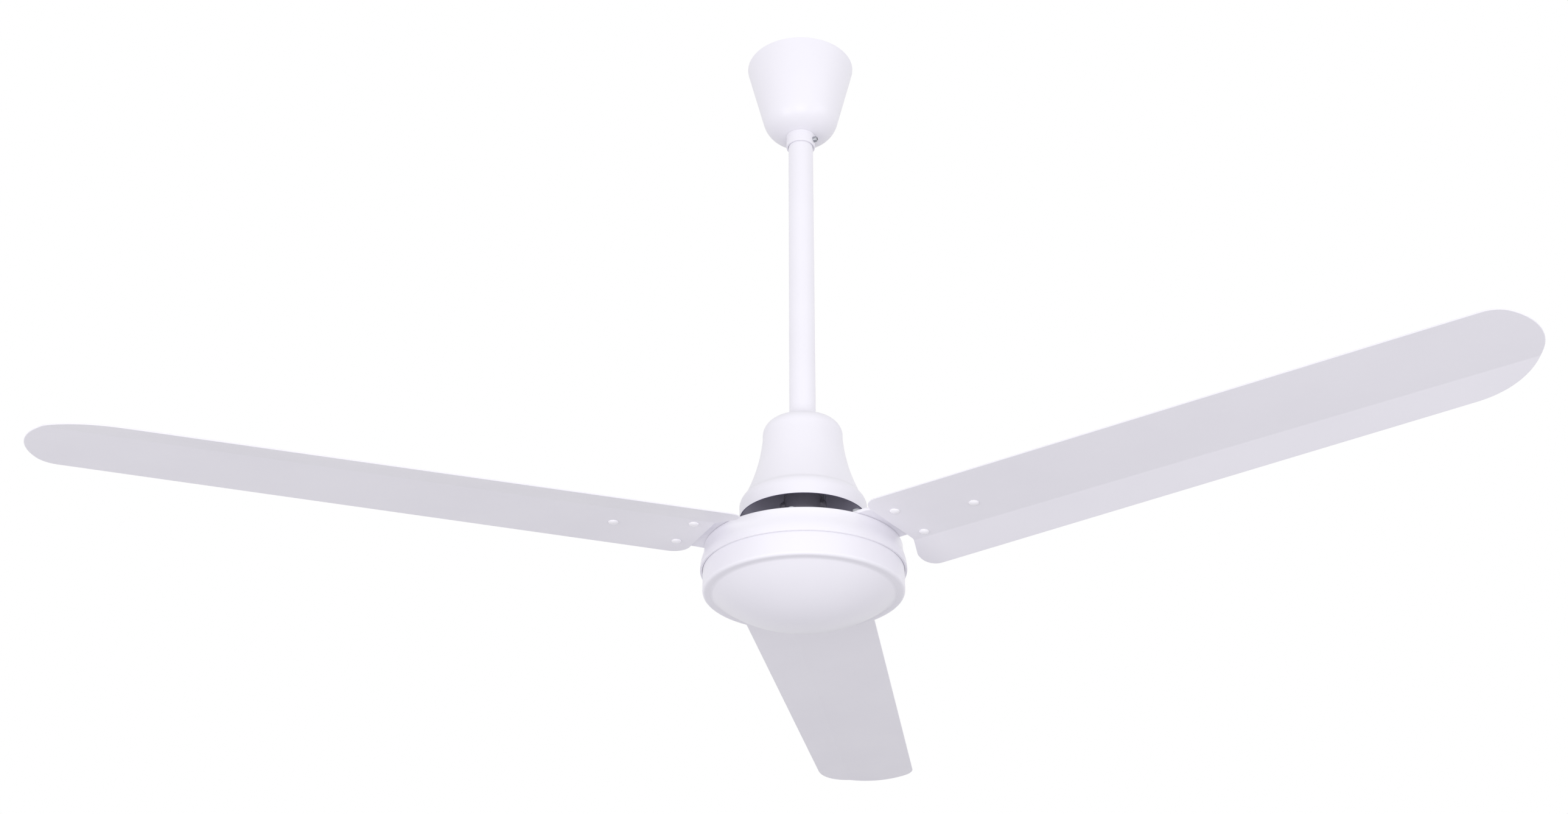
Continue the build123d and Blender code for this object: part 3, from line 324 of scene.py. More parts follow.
@dataclass(frozen=True)
class Laminated(Finish):
    """A pack of thin steel sheets, seen on edge as fine level lines."""

    name: str
    colour: Triple
    seam: Triple
    sheet: float = 0.0005
    scale_size: float = 0.006

    def inputs(self, graph: Graph) -> Mapping[str, Any]:
        """Inputs of the shader."""
        place = graph.place()
        height = graph.node("ShaderNodeSeparateXYZ", {}, {"Vector": place}, "Z")
        lines = (height * (2.0 * math.pi / self.sheet)).sine() * 0.5 + 0.5
        scale = graph.noise(place, self.scale_size, 4.0, 0.65)
        tone = (lines * 0.45 + scale * 0.7 - 0.1).clamped()
        return {
            "Base Color": graph.blend(tone, self.seam, self.colour),
            "Metallic": 0.9,
            "Roughness": 0.42 + (scale - 0.5) * 0.3,
            "Normal": graph.bump(lines, 0.00006, 0.5),
        }


@dataclass(frozen=True)
class Winding(Finish):
    """Varnished wire wound round the teeth, turn beside turn out from the axis."""

    name: str
    colour: Triple
    gap: Triple
    wire: float = 0.0009
    varnish_size: float = 0.004

    def inputs(self, graph: Graph) -> Mapping[str, Any]:
        """Inputs of the shader."""
        place = graph.place()
        flat = graph.node("ShaderNodeVectorMath", {"operation": "MULTIPLY"}, {0: place, 1: (1.0, 1.0, 0.0)})
        radius = graph.node("ShaderNodeVectorMath", {"operation": "LENGTH"}, {0: flat}, "Value")
        turns = (radius * (2.0 * math.pi / self.wire)).sine() * 0.5 + 0.5
        varnish = graph.noise(place, self.varnish_size, 3.0)
        tone = (turns * 0.8 + varnish * 0.4 - 0.1).clamped()
        return {
            "Base Color": graph.blend(tone, self.gap, self.colour),
            "Metallic": 0.65,
            "Roughness": 0.3 + (varnish - 0.5) * 0.3,
            "Coat Weight": 0.5,
            "Coat Roughness": 0.15,
            "Normal": graph.bump(turns, 0.0004, 0.8),
        }


@dataclass(frozen=True)
class Moulded(Finish):
    """Moulded plastic or rubber with a fine spark-eroded texture."""

    name: str
    colour: Triple
    bloom: Triple
    roughness: float = 0.5
    texture_size: float = 0.0007
    texture_depth: float = 0.00004
    bloom_size: float = 0.014

    def inputs(self, graph: Graph) -> Mapping[str, Any]:
        """Inputs of the shader."""
        place = graph.place()
        texture = graph.noise(place, self.texture_size, 2.0, 0.6)
        clouds = graph.noise(place, self.bloom_size, 3.0)
        return {
            "Base Color": graph.blend(((clouds - 0.35) * 1.8).clamped(), self.colour, self.bloom),
            "Roughness": self.roughness + (texture - 0.5) * 0.16 + (clouds - 0.5) * 0.12,
            "Specular IOR Level": 0.45,
            "Normal": graph.bump(texture, self.texture_depth, 0.7),
        }


@dataclass(frozen=True)
class FloorPaint(Finish):
    """Flat pale paint with faint clouds."""

    name: str = "floor_paint"
    colour: Triple = (0.62, 0.615, 0.635)
    cloud: Triple = (0.6, 0.595, 0.615)
    cloud_size: float = 0.6

    def inputs(self, graph: Graph) -> Mapping[str, Any]:
        """Inputs of the shader."""
        clouds = graph.noise(graph.place(), self.cloud_size, 3.0)
        colour = graph.blend(clouds, self.colour, self.cloud)
        return {"Base Color": colour, "Roughness": 0.85, "Specular IOR Level": 0.1}


class Finishes:
    """All the fan's finishes, made once."""

    def __init__(self) -> None:
        """Builds every finish of the fan."""
        self.body_enamel = Enamel("body_enamel", (0.862, 0.848, 0.905), (0.842, 0.828, 0.886)).material()
        # Painted shade: a darker, greyer copy of the body enamel for the inside of the bell, which stands in
        # shade.
        self.inner_shaded_enamel = Enamel(
            "inner_shaded_enamel", (0.5, 0.485, 0.57), (0.46, 0.445, 0.53), 0.6, coat=0.0
        ).material()
        # Painted shade: a dark violet for the bell's lower rim edge, where a thin line of shade falls.
        self.rim_painted_shade = Enamel(
            "rim_painted_shade", (0.09, 0.085, 0.15), (0.06, 0.057, 0.11), 0.55, coat=0.0
        ).material()
        self.blade_enamel = Enamel(
            "blade_enamel", (0.872, 0.857, 0.906), (0.852, 0.837, 0.888), 0.42
        ).material()
        # Painted highlight: the rivet heads are a lighter copy of the blade enamel, with a glossier coat.
        self.rivet_highlight_enamel = Enamel(
            "rivet_highlight_enamel", (0.93, 0.915, 0.95), (0.91, 0.896, 0.935), 0.24, 0.0012, coat=0.4
        ).material()
        # Painted shade: a dark, nearly non-metal copy of the zinc plate for the fasteners and clip inside the
        # bell.
        self.zinc_painted_shade = Metal(
            "zinc_painted_shade", (0.2, 0.19, 0.22), (0.16, 0.15, 0.18), 0.6, metallic=0.1
        ).material()
        self.zinc = Metal("zinc_plate", (0.46, 0.47, 0.5), (0.3, 0.31, 0.34), 0.36).material()
        self.brass = Metal("brass", (0.8, 0.6, 0.27), (0.62, 0.44, 0.18), 0.3).material()
        self.spring_steel = Metal("spring_steel", (0.22, 0.22, 0.24), (0.13, 0.13, 0.15), 0.38).material()
        self.ground_steel = Metal(
            "ground_steel", (0.6, 0.6, 0.62), (0.48, 0.48, 0.5), 0.25, 0.1, (0.02, 0.02, 0.00025)
        ).material()
        self.core_steel = Laminated("core_steel", (0.36, 0.37, 0.4), (0.1, 0.1, 0.12)).material()
        self.winding = Winding("winding_varnish", (0.56, 0.19, 0.06), (0.16, 0.05, 0.02)).material()
        self.cage_aluminium = CastMetal(
            "cage_aluminium", (0.64, 0.65, 0.67), (0.42, 0.43, 0.45), 0.45, pebble_depth=0.00006, metallic=1.0
        ).material()
        self.coupler_iron = CastMetal(
            "coupler_iron", (0.21, 0.2, 0.24), (0.17, 0.16, 0.195), metallic=0.0
        ).material()
        self.terminal_plastic = Moulded("terminal_plastic", (0.72, 0.7, 0.62), (0.66, 0.64, 0.56)).material()
        self.capacitor_plastic = Moulded(
            "capacitor_plastic", (0.3, 0.31, 0.34), (0.25, 0.26, 0.29), 0.4
        ).material()
        self.rubber = Moulded("bush_rubber", (0.022, 0.022, 0.024), (0.04, 0.04, 0.043), 0.72).material()


# Geometry


@dataclass(frozen=True)
class Placement:
    """An origin and three unit directions in the fan's frame."""

    origin: Points
    x: Points
    y: Points
    z: Points

    def out(self, points: Points) -> Points:
        """Local points, as rows of x, y and z, in the fan's frame."""
        return self.origin + points @ np.stack([self.x, self.y, self.z])


def unit(vector: Points) -> Points:
    """Vectors of length one along the given ones."""
    return vector / np.linalg.norm(vector, axis=-1, keepdims=True)


def hub_placement(azimuth: float, level: float) -> Placement:
    """Level frame whose x axis points out along one blade.

    Args:
        azimuth: The blade's direction in degrees.
        level: Height above the blade plane.

    Returns:
        The frame.
    """
    turn = math.radians(azimuth)
    along = np.array([math.cos(turn), math.sin(turn), 0.0])
    up = np.array([0.0, 0.0, 1.0])
    return Placement(up * (BLADE_PLANE + level), along, np.cross(up, along), up)


def blade_placement(azimuth: float, rise: float, pitch: float, droop: float) -> Placement:
    """Frame of one blade: x runs out along it, y across it to its lower edge, z is square to it.

    Args:
        azimuth: The blade's direction in degrees.
        rise: Height above the blade's underside, square to it.
        pitch: Angle across the blade, in degrees.
        droop: Angle along the blade, in degrees.

    Returns:
        The frame.
    """
    level = hub_placement(azimuth, 0.0)
    lean, fall = math.radians(pitch), math.radians(droop)
    x = level.x * math.cos(fall) - level.z * math.sin(fall)
    square = level.x * math.sin(fall) + level.z * math.cos(fall)
    z = square * math.cos(lean) + level.y * math.sin(lean)
    return Placement(level.origin + z * rise, x, np.cross(z, x), z)


def rounded(corners: Sequence[Triple], steps: int = 6, closed: bool = True, lead: float = 0.0006) -> Points:
    """Rounds the corners of a polygon with arcs.

    With the unit directions d and e into and out of a corner P, turning by the angle t, an arc of
    radius R starts at P - d R tan(t/2), ends at P + e R tan(t/2), and its points are its centre plus
    the starting spoke turned by even shares of t. A short lead before and after each arc keeps the
    straight runs flat.

    Args:
        corners: x, y and fillet radius of each corner, in order.
        steps: Number of spans in each arc.
        closed: Whether the last corner joins the first.
        lead: Length of the straight leads.

    Returns:
        Points of the rounded outline, as rows of x and y.
    """
    data = np.asarray(corners, float)
    point, radius = data[:, :2], data[:, 2]
    before, after = np.roll(point, 1, 0), np.roll(point, -1, 0)
    into, out = unit(point - before), unit(after - point)
    cross = into[:, 0] * out[:, 1] - into[:, 1] * out[:, 0]
    turn = np.arctan2(cross, (into * out).sum(1))
    tangent = radius * np.abs(np.tan(turn / 2))
    spoke = np.stack([into[:, 1], -into[:, 0]], 1) * (np.sign(turn) * radius)[:, None]
    centre = point - into * tangent[:, None] - spoke
    angle = turn[:, None] * np.linspace(0.0, 1.0, steps + 1)
    cos, sin = np.cos(angle), np.sin(angle)
    x = centre[:, :1] + spoke[:, :1] * cos - spoke[:, 1:] * sin
    y = centre[:, 1:] + spoke[:, :1] * sin + spoke[:, 1:] * cos
    arcs = np.stack([x, y], -1)
    room = np.linalg.norm(after - point, axis=1) - tangent - np.roll(tangent, -1)
    lead_out = np.minimum(lead, room / 3)
    lead_in = np.roll(lead_out, 1)
    first = arcs[:, 0] - into * lead_in[:, None]
    last = arcs[:, -1] + out * lead_out[:, None]
    rows = np.concatenate([first[:, None], arcs, last[:, None]], 1)
    if not closed:
        rows[0] = point[0]
        rows[-1] = point[-1]
    path = rows.reshape(-1, 2)
    step = np.linalg.norm(np.diff(path, axis=0, prepend=path[-1:] if closed else path[:1] - 1.0), axis=1)
    return path[step > 1e-7]


def arc_through(start: Pair, middle: Pair, end: Pair, count: int) -> Points:
    """Points of the circle through three points.

    The centre is where the bisectors of the two chords meet, and the points stand at even angles.

    Args:
        start: First point.
        middle: A point between.
        end: Last point.
        count: Number of points.

    Returns:
        The points, both ends included.
    """
    a, b, c = (np.asarray(p, float) for p in (start, middle, end))
    rows = np.stack([b - a, c - b]) * 2.0
    centre = np.linalg.solve(rows, np.array([b @ b - a @ a, c @ c - b @ b]))
    swept = np.unwrap([math.atan2(*(p - centre)[::-1]) for p in (a, b, c)])
    angle = np.linspace(swept[0], swept[2], count)
    reach = np.linalg.norm(a - centre)
    return centre + reach * np.stack([np.cos(angle), np.sin(angle)], 1)


def sheet_section(line: Points, wall: float, steps: int = 6) -> Points:
    """Closed section of bent sheet: a line, the same line one wall to its right, and rounded ends.

    With the line's unit normal n, the far side is line + n wall, and each end is the half circle
    of radius wall/2 about the middle of the wall.

    Args:
        line: Points along one face of the sheet, as rows of radius and height.
        wall: Thickness of the sheet.
        steps: Number of spans in each rounded end.

    Returns:
        Points of the closed section.
    """
    heading = unit(np.gradient(line, axis=0))
    half = wall / 2
    spoke = np.stack([heading[:, 1], -heading[:, 0]], 1) * half
    forward = heading * half
    angle = np.linspace(0.0, math.pi, steps + 1)[1:-1, None]
    back, over = np.sin(angle) - 1.0, np.cos(angle)
    end = line[-1] + spoke[-1] - spoke[-1] * over + forward[-1] * back
    start = line[0] + spoke[0] + spoke[0] * over - forward[0] * back
    near = line.copy()
    near[-1] -= forward[-1]
    near[0] += forward[0]
    return np.concatenate([near, end, (near + spoke * 2)[::-1], start])


def grid_faces(rows: int, columns: int, wrap_rows: bool = False, wrap_columns: bool = False) -> Points:
    """Faces of a grid of points stored row by row.

    The face at (i, j) joins the points (i, j), (i+1, j), (i+1, j+1) and (i, j+1).

    Args:
        rows: Number of rows.
        columns: Number of points in a row.
        wrap_rows: Whether the last row joins the first.
        wrap_columns: Whether each row's last point joins its first.

    Returns:
        Corner numbers, four to a face.
    """
    i = np.arange(rows if wrap_rows else rows - 1)[:, None]
    j = np.arange(columns if wrap_columns else columns - 1)[None, :]
    here, below, right = i * columns, (i + 1) % rows * columns, (j + 1) % columns
    return np.stack([here + j, below + j, below + right, here + right], -1).reshape(-1, 4)


def revolved(section: Points, turns: int, closed: bool = True) -> Mesh:
    """Surface of revolution about the z axis.

    The point (r, z) of the section at the angle a goes to (r cos a, r sin a, z).

    Args:
        section: Rows of radius and height.
        turns: Number of copies of the section round the axis.
        closed: Whether the section's last point joins its first.

    Returns:
        Vertices and four-cornered faces.
    """
    angle = np.linspace(0.0, 2.0 * math.pi, turns, endpoint=False)[:, None]
    radius, height = section[None, :, 0], section[None, :, 1]
    height = np.broadcast_to(height, (turns, len(section)))
    grid = np.stack([radius * np.cos(angle), radius * np.sin(angle), height], -1)
    return grid.reshape(-1, 3), grid_faces(turns, len(section), True, closed)


def joined(parts: Sequence[Mesh]) -> Mesh:
    """Vertices and faces of several meshes as one."""
    starts = np.cumsum([0] + [len(vertices) for vertices, _ in parts[:-1]])
    return (
        np.concatenate([vertices for vertices, _ in parts]),
        np.concatenate([faces + start for (_, faces), start in zip(parts, starts)]),
    )


def lift(section: Points) -> Points:
    """A section whose heights are counted from the blade plane, moved to the fan's frame."""
    return section + np.array([0.0, BLADE_PLANE])


def crowded(count: int, ends: float, inner: int) -> Points:
    """Shares from 0 to 1, close together near both ends.

    Args:
        count: Number of points in each end.
        ends: Share of the length taken by each end.
        inner: Number of points between.

    Returns:
        The shares.
    """
    start = np.linspace(0.0, ends, count)
    middle = np.linspace(ends, 1.0 - ends, inner + 2)[1:-1]
    return np.concatenate([start, middle, (1.0 - start)[::-1]])


def rows_of_three(items: Any, attribute: str, width: int = 3) -> Points:
    """One attribute of all of a mesh's items.

    Args:
        items: The mesh's vertices, loops or polygons.
        attribute: The attribute's name.
        width: How many numbers an item has.

    Returns:
        The numbers, three to a row.
    """
    numbers = np.empty(len(items) * width)
    items.foreach_get(attribute, numbers)
    return numbers.reshape(-1, 3)


@dataclass
class CutSheet:
    """Sheet metal cut to an outline, laid on a surface, with its edges rounded."""

    outline: Points
    thickness: float
    edge: float
    lay: Callable[[Points], Points]
    flat_lead: float = 0.0003

    def __post_init__(self) -> None:
        """Measures the outline."""
        self.inset = self.edge + self.flat_lead
        self.loop = np.concatenate([self.outline, self.outline[:1]])
        step = np.diff(self.loop, axis=0)
        self.length = np.concatenate([[0.0], np.cumsum(np.linalg.norm(step, axis=1))])
        heading = unit(np.roll(self.outline, -1, 0) - np.roll(self.outline, 1, 0))
        x, y = self.loop.T
        area = (x[:-1] * y[1:] - x[1:] * y[:-1]).sum()
        normal = np.stack([heading[:, 1], -heading[:, 0]], 1) * np.sign(area)
        self.normal = np.concatenate([normal, normal[:1]])

    def edge_at(self, distance: Points, inset: float | None = None) -> Points:
        """Points of the outline moved inwards.

        Args:
            distance: Distances along the outline.
            inset: How far inwards, if not as far as the flat faces.

        Returns:
            The points, as rows along the sheet and across it.
        """
        wrapped = np.mod(distance, self.length[-1])
        inner = self.loop - self.normal * (self.inset if inset is None else inset)
        return np.stack([np.interp(wrapped, self.length, inner[:, k]) for k in (0, 1)], -1)

    def nearest(self, spot: Sequence[float]) -> float:
        """Distance along the outline of the point nearest to a spot."""
        return float(self.length[np.argmin(np.linalg.norm(self.loop - np.asarray(spot), axis=1))])

    def crossings(self, beyond: Callable[[Points], Points]) -> Points:
        """Distances along the outline at which the flat faces' edge crosses a straight line.

        Args:
            beyond: Distance of points past the line, with a sign.

        Returns:
            The distances.
        """
        side = beyond(self.loop - self.normal * self.inset)
        first = np.flatnonzero(side[:-1] * side[1:] < 0.0)
        share = side[first] / (side[first] - side[first + 1])
        return self.length[first] + share * np.diff(self.length)[first]

    def between(self, start: float, end: float, shares: Points, forward: bool = True) -> Points:
        """Distances along the outline from start to end at the given shares of the way.

        Args:
            start: First distance.
            end: Last distance.
            shares: Shares of the way, from 0 to 1.
            forward: Whether the way follows the outline's own direction.

        Returns:
            The distances.
        """
        way = np.mod(end - start, self.length[-1]) if forward else -np.mod(start - end, self.length[-1])
        return start + way * shares

    def raised(self, places: Points, height: Points) -> Points:
        """Points above the surface that the sheet is laid on.

        The normal is the cross product of the surface's slopes along and across, taken over
        0.05 mm each way, and a point is surface + height normal.

        Args:
            places: Positions along and across, as rows.
            height: Height of each above the surface.

        Returns:
            The points in the fan's frame.
        """
        reach = 0.00005
        along = self.lay(places + [reach, 0.0]) - self.lay(places - [reach, 0.0])
        across = self.lay(places + [0.0, reach]) - self.lay(places - [0.0, reach])
        return self.lay(places) + unit(np.cross(along, across)) * height[..., None]

    def rim(self, sides: Sequence[Points]) -> Mesh:
        """The rounded edge all the way round.

        Its section is a quarter circle of radius e from the lower face to the edge and another to
        the upper face, at inset e (1 - sin a) and height e (1 - cos a), and it starts and ends with
        a short flat lead.

        Args:
            sides: Distances along the outline, one array for each side of the flat faces.

        Returns:
            Vertices and faces.
        """
        distance = np.unique(np.mod(np.concatenate(sides), self.length[-1]).round(9))
        angle = np.linspace(0.0, math.pi / 2, 5)
        inset = self.edge * (1.0 - np.sin(angle))
        height = self.edge * (1.0 - np.cos(angle))
        insets = np.concatenate([[self.inset], inset, inset[::-1], [self.inset]])
        heights = np.concatenate([[0.0], height, self.thickness - height[::-1], [self.thickness]])
        rows = np.stack([self.edge_at(distance, value) for value in insets], 1)
        grid = self.raised(rows, np.broadcast_to(heights, rows.shape[:2]))
        return grid.reshape(-1, 3), grid_faces(len(distance), len(insets), True)

    def patch(
        self, near: Points, far: Points, start: Points, end: Points, u: Points, v: Points
    ) -> list[Mesh]:
        """Lower and upper face between four boundary lines.

        A point is the sum of the two straight blends between opposite lines less the blend of the
        four corners: (1-v) near(u) + v far(u) + (1-u) start(v) + u end(v) - corners(u, v).

        Args:
            near: Line at v = 0, one point for each u.
            far: Line at v = 1.
            start: Line at u = 0, one point for each v.
            end: Line at u = 1.
            u: Shares along.
            v: Shares across.

        Returns:
            Vertices and faces of both faces.
        """
        su, sv = u[:, None, None], v[None, :, None]
        low = (1 - su) * (1 - sv) * near[0] + su * (1 - sv) * near[-1]
        corners = low + (1 - su) * sv * far[0] + su * sv * far[-1]
        across = (1 - sv) * near[:, None] + sv * far[:, None]
        flat = across + (1 - su) * start[None] + su * end[None] - corners
        faces = grid_faces(len(u), len(v))
        heights = (np.zeros(flat.shape[:2]), np.full(flat.shape[:2], self.thickness))
        return [(self.raised(flat, height).reshape(-1, 3), faces) for height in heights]


# Sub-assemblies


def dress(finish: bpy.types.Material, *nodes: str) -> None:
    """Gives solids of the frame their finish."""
    for node in nodes:
        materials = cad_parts[node].data.materials
        materials.clear()
        materials.append(finish)
        LOG.info("%s: %s", node, finish.name)


@dataclass
class SubAssembly:
    """Some of the fan's pieces, and the body that its new ones ride on."""

    finishes: Finishes
    body: ClassVar[Body]

    def piece(
        self,
        name: str,
        shape: Mesh,
        node: str,
        finish: bpy.types.Material | None = None,
        slot: Slot = Slot.WHITE_ENAMEL,
    ) -> bpy.types.Object:
        """Turns arrays into a piece that rides on the body and stands for a node.

        Args:
            name: The piece's name.
            shape: Vertices and faces.
            node: The node that it replaces.
            finish: Its material, if it isn't the body enamel.
            slot: The record's finish; not used.

        Returns:
            The piece, with doubles merged, normals outwards and smooth faces.
        """
        vertices, faces = shape
        mesh = bpy.data.meshes.new(name)
        mesh.from_pydata(vertices.tolist(), [], faces.tolist())
        work = bmesh.new()
        work.from_mesh(mesh)
        bmesh.ops.remove_doubles(work, verts=work.verts, dist=1e-6)
        bmesh.ops.recalc_face_normals(work, faces=work.faces)
        work.to_mesh(mesh)
        work.free()
        mesh.polygons.foreach_set("use_smooth", np.ones(len(mesh.polygons), bool))
        mesh.materials.append(finish or self.finishes.body_enamel)
        piece = bpy.data.objects.new(name, mesh)
        bpy.context.scene.collection.objects.link(piece)
        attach(piece, self.body.value)
        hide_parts(node)
        LOG.info("%s: %d faces on %s", name, len(mesh.polygons), self.body.value)
        return piece

    def low_heads(self, name: str, node: str, seat: float, share: float) -> bpy.types.Object:
        """A node's screws with their heads made lower.

        A point at the height h above the seat goes to the height h share above it.

        Args:
            name: The piece's name.
            node: The node that holds the screws.
            seat: Level on which the heads sit, above the blade plane.
            share: Height of the new heads, as a share of the old.

        Returns:
            The piece, zinc plated, with its sharp edges kept.
        """
        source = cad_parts[node].data
        spots = rows_of_three(source.vertices, "co")
        spots[:, 2] -= np.maximum(spots[:, 2] - BLADE_PLANE - seat, 0.0) * (1.0 - share)
        faces = rows_of_three(source.loops, "vertex_index", 1).astype(int)
        piece = self.piece(name, (spots, faces), node, self.finishes.zinc, Slot.ZINC)
        piece.data.set_sharp_from_angle(angle=math.radians(30.0))
        return piece


@dataclass
class CeilingMount(SubAssembly):
    """Bracket, hanger bolt, terminal block and their fasteners, inside the upper canopy."""

    def build(self) -> None:
        """Gives each fixed piece its finish."""
        dress(self.finishes.zinc, "ceiling_bracket", "hanger_bolt", "hanger_nut")
        dress(self.finishes.spring_steel, "hanger_split_pin")
        dress(self.finishes.terminal_plastic, "terminal_block")
        dress(self.finishes.brass, "terminal_screws", "earth_screw")


@dataclass
class Downrod(SubAssembly):
    """Tube from the ceiling to the motor, with the coupler and what it carries."""

    body: ClassVar[Body] = Body.ROD
    radius: float = 0.01335
    wall: float = 0.002
    top: float = -0.0195
    length: float = 0.5085
    broken_edge: float = 0.0005
    turns: int = 96

    def tube(self) -> bpy.types.Object:
        """The painted tube, its ends broken with a small radius."""
        low, bore = self.top - self.length, self.radius - self.wall
        corners = [(bore, low), (self.radius, low), (self.radius, self.top), (bore, self.top)]
        section = rounded([(*corner, self.broken_edge) for corner in corners], 3)
        return self.piece("downrod_tube", revolved(section, self.turns), "downrod")

    def build(self) -> None:
        """Builds the tube and finishes what it carries."""
        self.tube()
        dress(self.finishes.rubber, "hanger_bushes")
        dress(self.finishes.coupler_iron, "rod_coupler")
        # The fasteners and clip inside the bell take the zinc plate darkened as painted shade.
        dress(self.finishes.zinc_painted_shade, "coupling_bolt", "coupling_nut", "coupler_lock_nuts")
        dress(self.finishes.zinc_painted_shade, "rod_lock_screws", "shaft_lock_screws", "capacitor_clip")
        dress(self.finishes.spring_steel, "coupling_split_pin")
        dress(self.finishes.capacitor_plastic, "run_capacitor")


@dataclass
class UpperCanopy(SubAssembly):
    """Tapered cup under the ceiling, with a collar that a set screw holds on the tube."""

    body: ClassVar[Body] = Body.UPPER_CANOPY
    mouth_radius: float = 0.0585
    mouth: float = -0.003
    mouth_edge: float = 0.00035
    base_radius: float = 0.0354
    base: float = -0.0957
    corner: float = 0.0283
    wall: float = 0.001
    taper_wall: float = 0.0008
    collar_radius: float = 0.0156
    collar_end: float = -0.1093
    collar_edge: float = 0.0006
    bore: float = 0.01365
    bore_edge: float = 0.0003
    turns: int = 144

    def cup(self) -> bpy.types.Object:
        """The cup and its collar."""
        inside = self.base + self.wall
        corners = [
            (self.mouth_radius - self.wall, self.mouth, self.mouth_edge),
            (self.mouth_radius, self.mouth, self.mouth_edge),
            (self.base_radius, self.base, self.corner),
            (self.collar_radius, self.base, self.collar_edge),
            (self.collar_radius, self.collar_end, self.collar_edge),
            (self.bore, self.collar_end, self.bore_edge),
            (self.bore, inside, self.bore_edge),
            (self.base_radius - self.taper_wall, inside, self.corner - self.wall),
        ]
        return self.piece("upper_canopy_cup", revolved(rounded(corners, 12), self.turns), "upper_canopy")

    def build(self) -> None:
        """Builds the cup and finishes its screw."""
        self.cup()
        dress(self.finishes.zinc, "upper_canopy_screw")


@dataclass
class LowerCanopy(SubAssembly):
    """Bell over the coupler, with a flat top, a waist, a ridge and a straight rim."""

    body: ClassVar[Body] = Body.LOWER_CANOPY
    hole_radius: float = 0.0146
    top: float = 0.141
    flat: Triple = (0.0175, 0.141, 0.003)
    shoulder: Triple = (0.0401, 0.136, 0.014)
    neck: Pair = (0.0401, 0.12)
    waist: Pair = (0.0442, 0.094)
    ridge: Pair = (0.0582, 0.054)
    band: Pair = (0.0616, 0.0498)
    rim_top: Pair = (0.0626, 0.043)
    rim: Pair = (0.0626, 0.0325)
    rim_band: float = 0.001
    wall: float = 0.0012
    turns: int = 160
    grommet_bore: float = 0.01365
    grommet_lip: Pair = (0.0154, 0.0006)
    grommet_tail: Pair = (0.0164, 0.003)
    grommet_play: float = 0.00002
    grommet_edge: float = 0.0003
    grommet_lip_edge: float = 0.0004
    grommet_tail_edge: float = 0.0006
    grommet_turns: int = 96

    def outline(self) -> Points:
        """The bell's outer line from its hole to its rim."""
        corners = [(self.hole_radius, self.top, 0.0), self.flat, self.shoulder, (*self.neck, 0.0)]
        crown = rounded(corners, 14, closed=False)
        waist = arc_through(self.neck, self.waist, self.ridge, 28)[1:]
        band = arc_through(self.ridge, self.band, self.rim_top, 12)[1:]
        edge = np.linspace(self.rim_top, self.rim, 6)[1:]
        return np.concatenate([crown, waist, band, edge])

    def bell(self) -> bpy.types.Object:
        """The bell as one spun sheet, enamelled outside, with painted shade inside and along its rim.

        A face is on the rim if it looks down and its middle is less than rim_band above the
        rim's level; it takes a dark violet, painted shade. It is inside if it looks towards the axis
        and not up; it takes a darker, greyer copy of the enamel, painted shade.

        Returns:
            The piece, with a material slot for each of the three.
        """
        section = lift(sheet_section(self.outline(), self.wall))
        piece = self.piece("lower_canopy_bell", revolved(section, self.turns), "lower_canopy")
        piece.data.materials.append(self.finishes.inner_shaded_enamel)
        piece.data.materials.append(self.finishes.rim_painted_shade)
        normal = rows_of_three(piece.data.polygons, "normal")
        centre = rows_of_three(piece.data.polygons, "center")
        outward = (normal[:, :2] * unit(centre[:, :2])).sum(1) + np.maximum(normal[:, 2], 0.0)
        # Painted shade: faces on the rim's lower edge take the dark violet, inner faces the darker enamel.
        rim_shade = (normal[:, 2] < -0.5) & (centre[:, 2] < BLADE_PLANE + self.rim[1] + self.rim_band)
        finish = np.where(rim_shade, 2, np.where(outward < -0.2, 1, 0))
        piece.data.polygons.foreach_set("material_index", finish.astype(np.int32))
        return piece

    def grommet(self) -> bpy.types.Object:
        """The rubber ring in the bell's hole, painted with the bell."""
        head, foot = self.top + self.grommet_lip[1], self.top - self.wall
        tail = foot - self.grommet_tail[1]
        groove = self.hole_radius - self.grommet_play
        corners = [
            (self.grommet_bore, head, self.grommet_edge),
            (self.grommet_lip[0], head, self.grommet_lip_edge),
            (self.grommet_lip[0], self.top, 0.0),
            (groove, self.top, 0.0),
            (groove, foot, 0.0),
            (self.grommet_tail[0], foot, self.grommet_edge),
            (self.grommet_tail[0], tail, self.grommet_tail_edge),
            (self.grommet_bore, tail, self.grommet_edge),
        ]
        shape = revolved(lift(rounded(corners, 3)), self.grommet_turns)
        return self.piece("lower_canopy_ring", shape, "lower_canopy_grommet", slot=Slot.BUSH_RUBBER)

    def build(self) -> None:
        """Builds the bell and its ring."""
        self.bell()
        self.grommet()


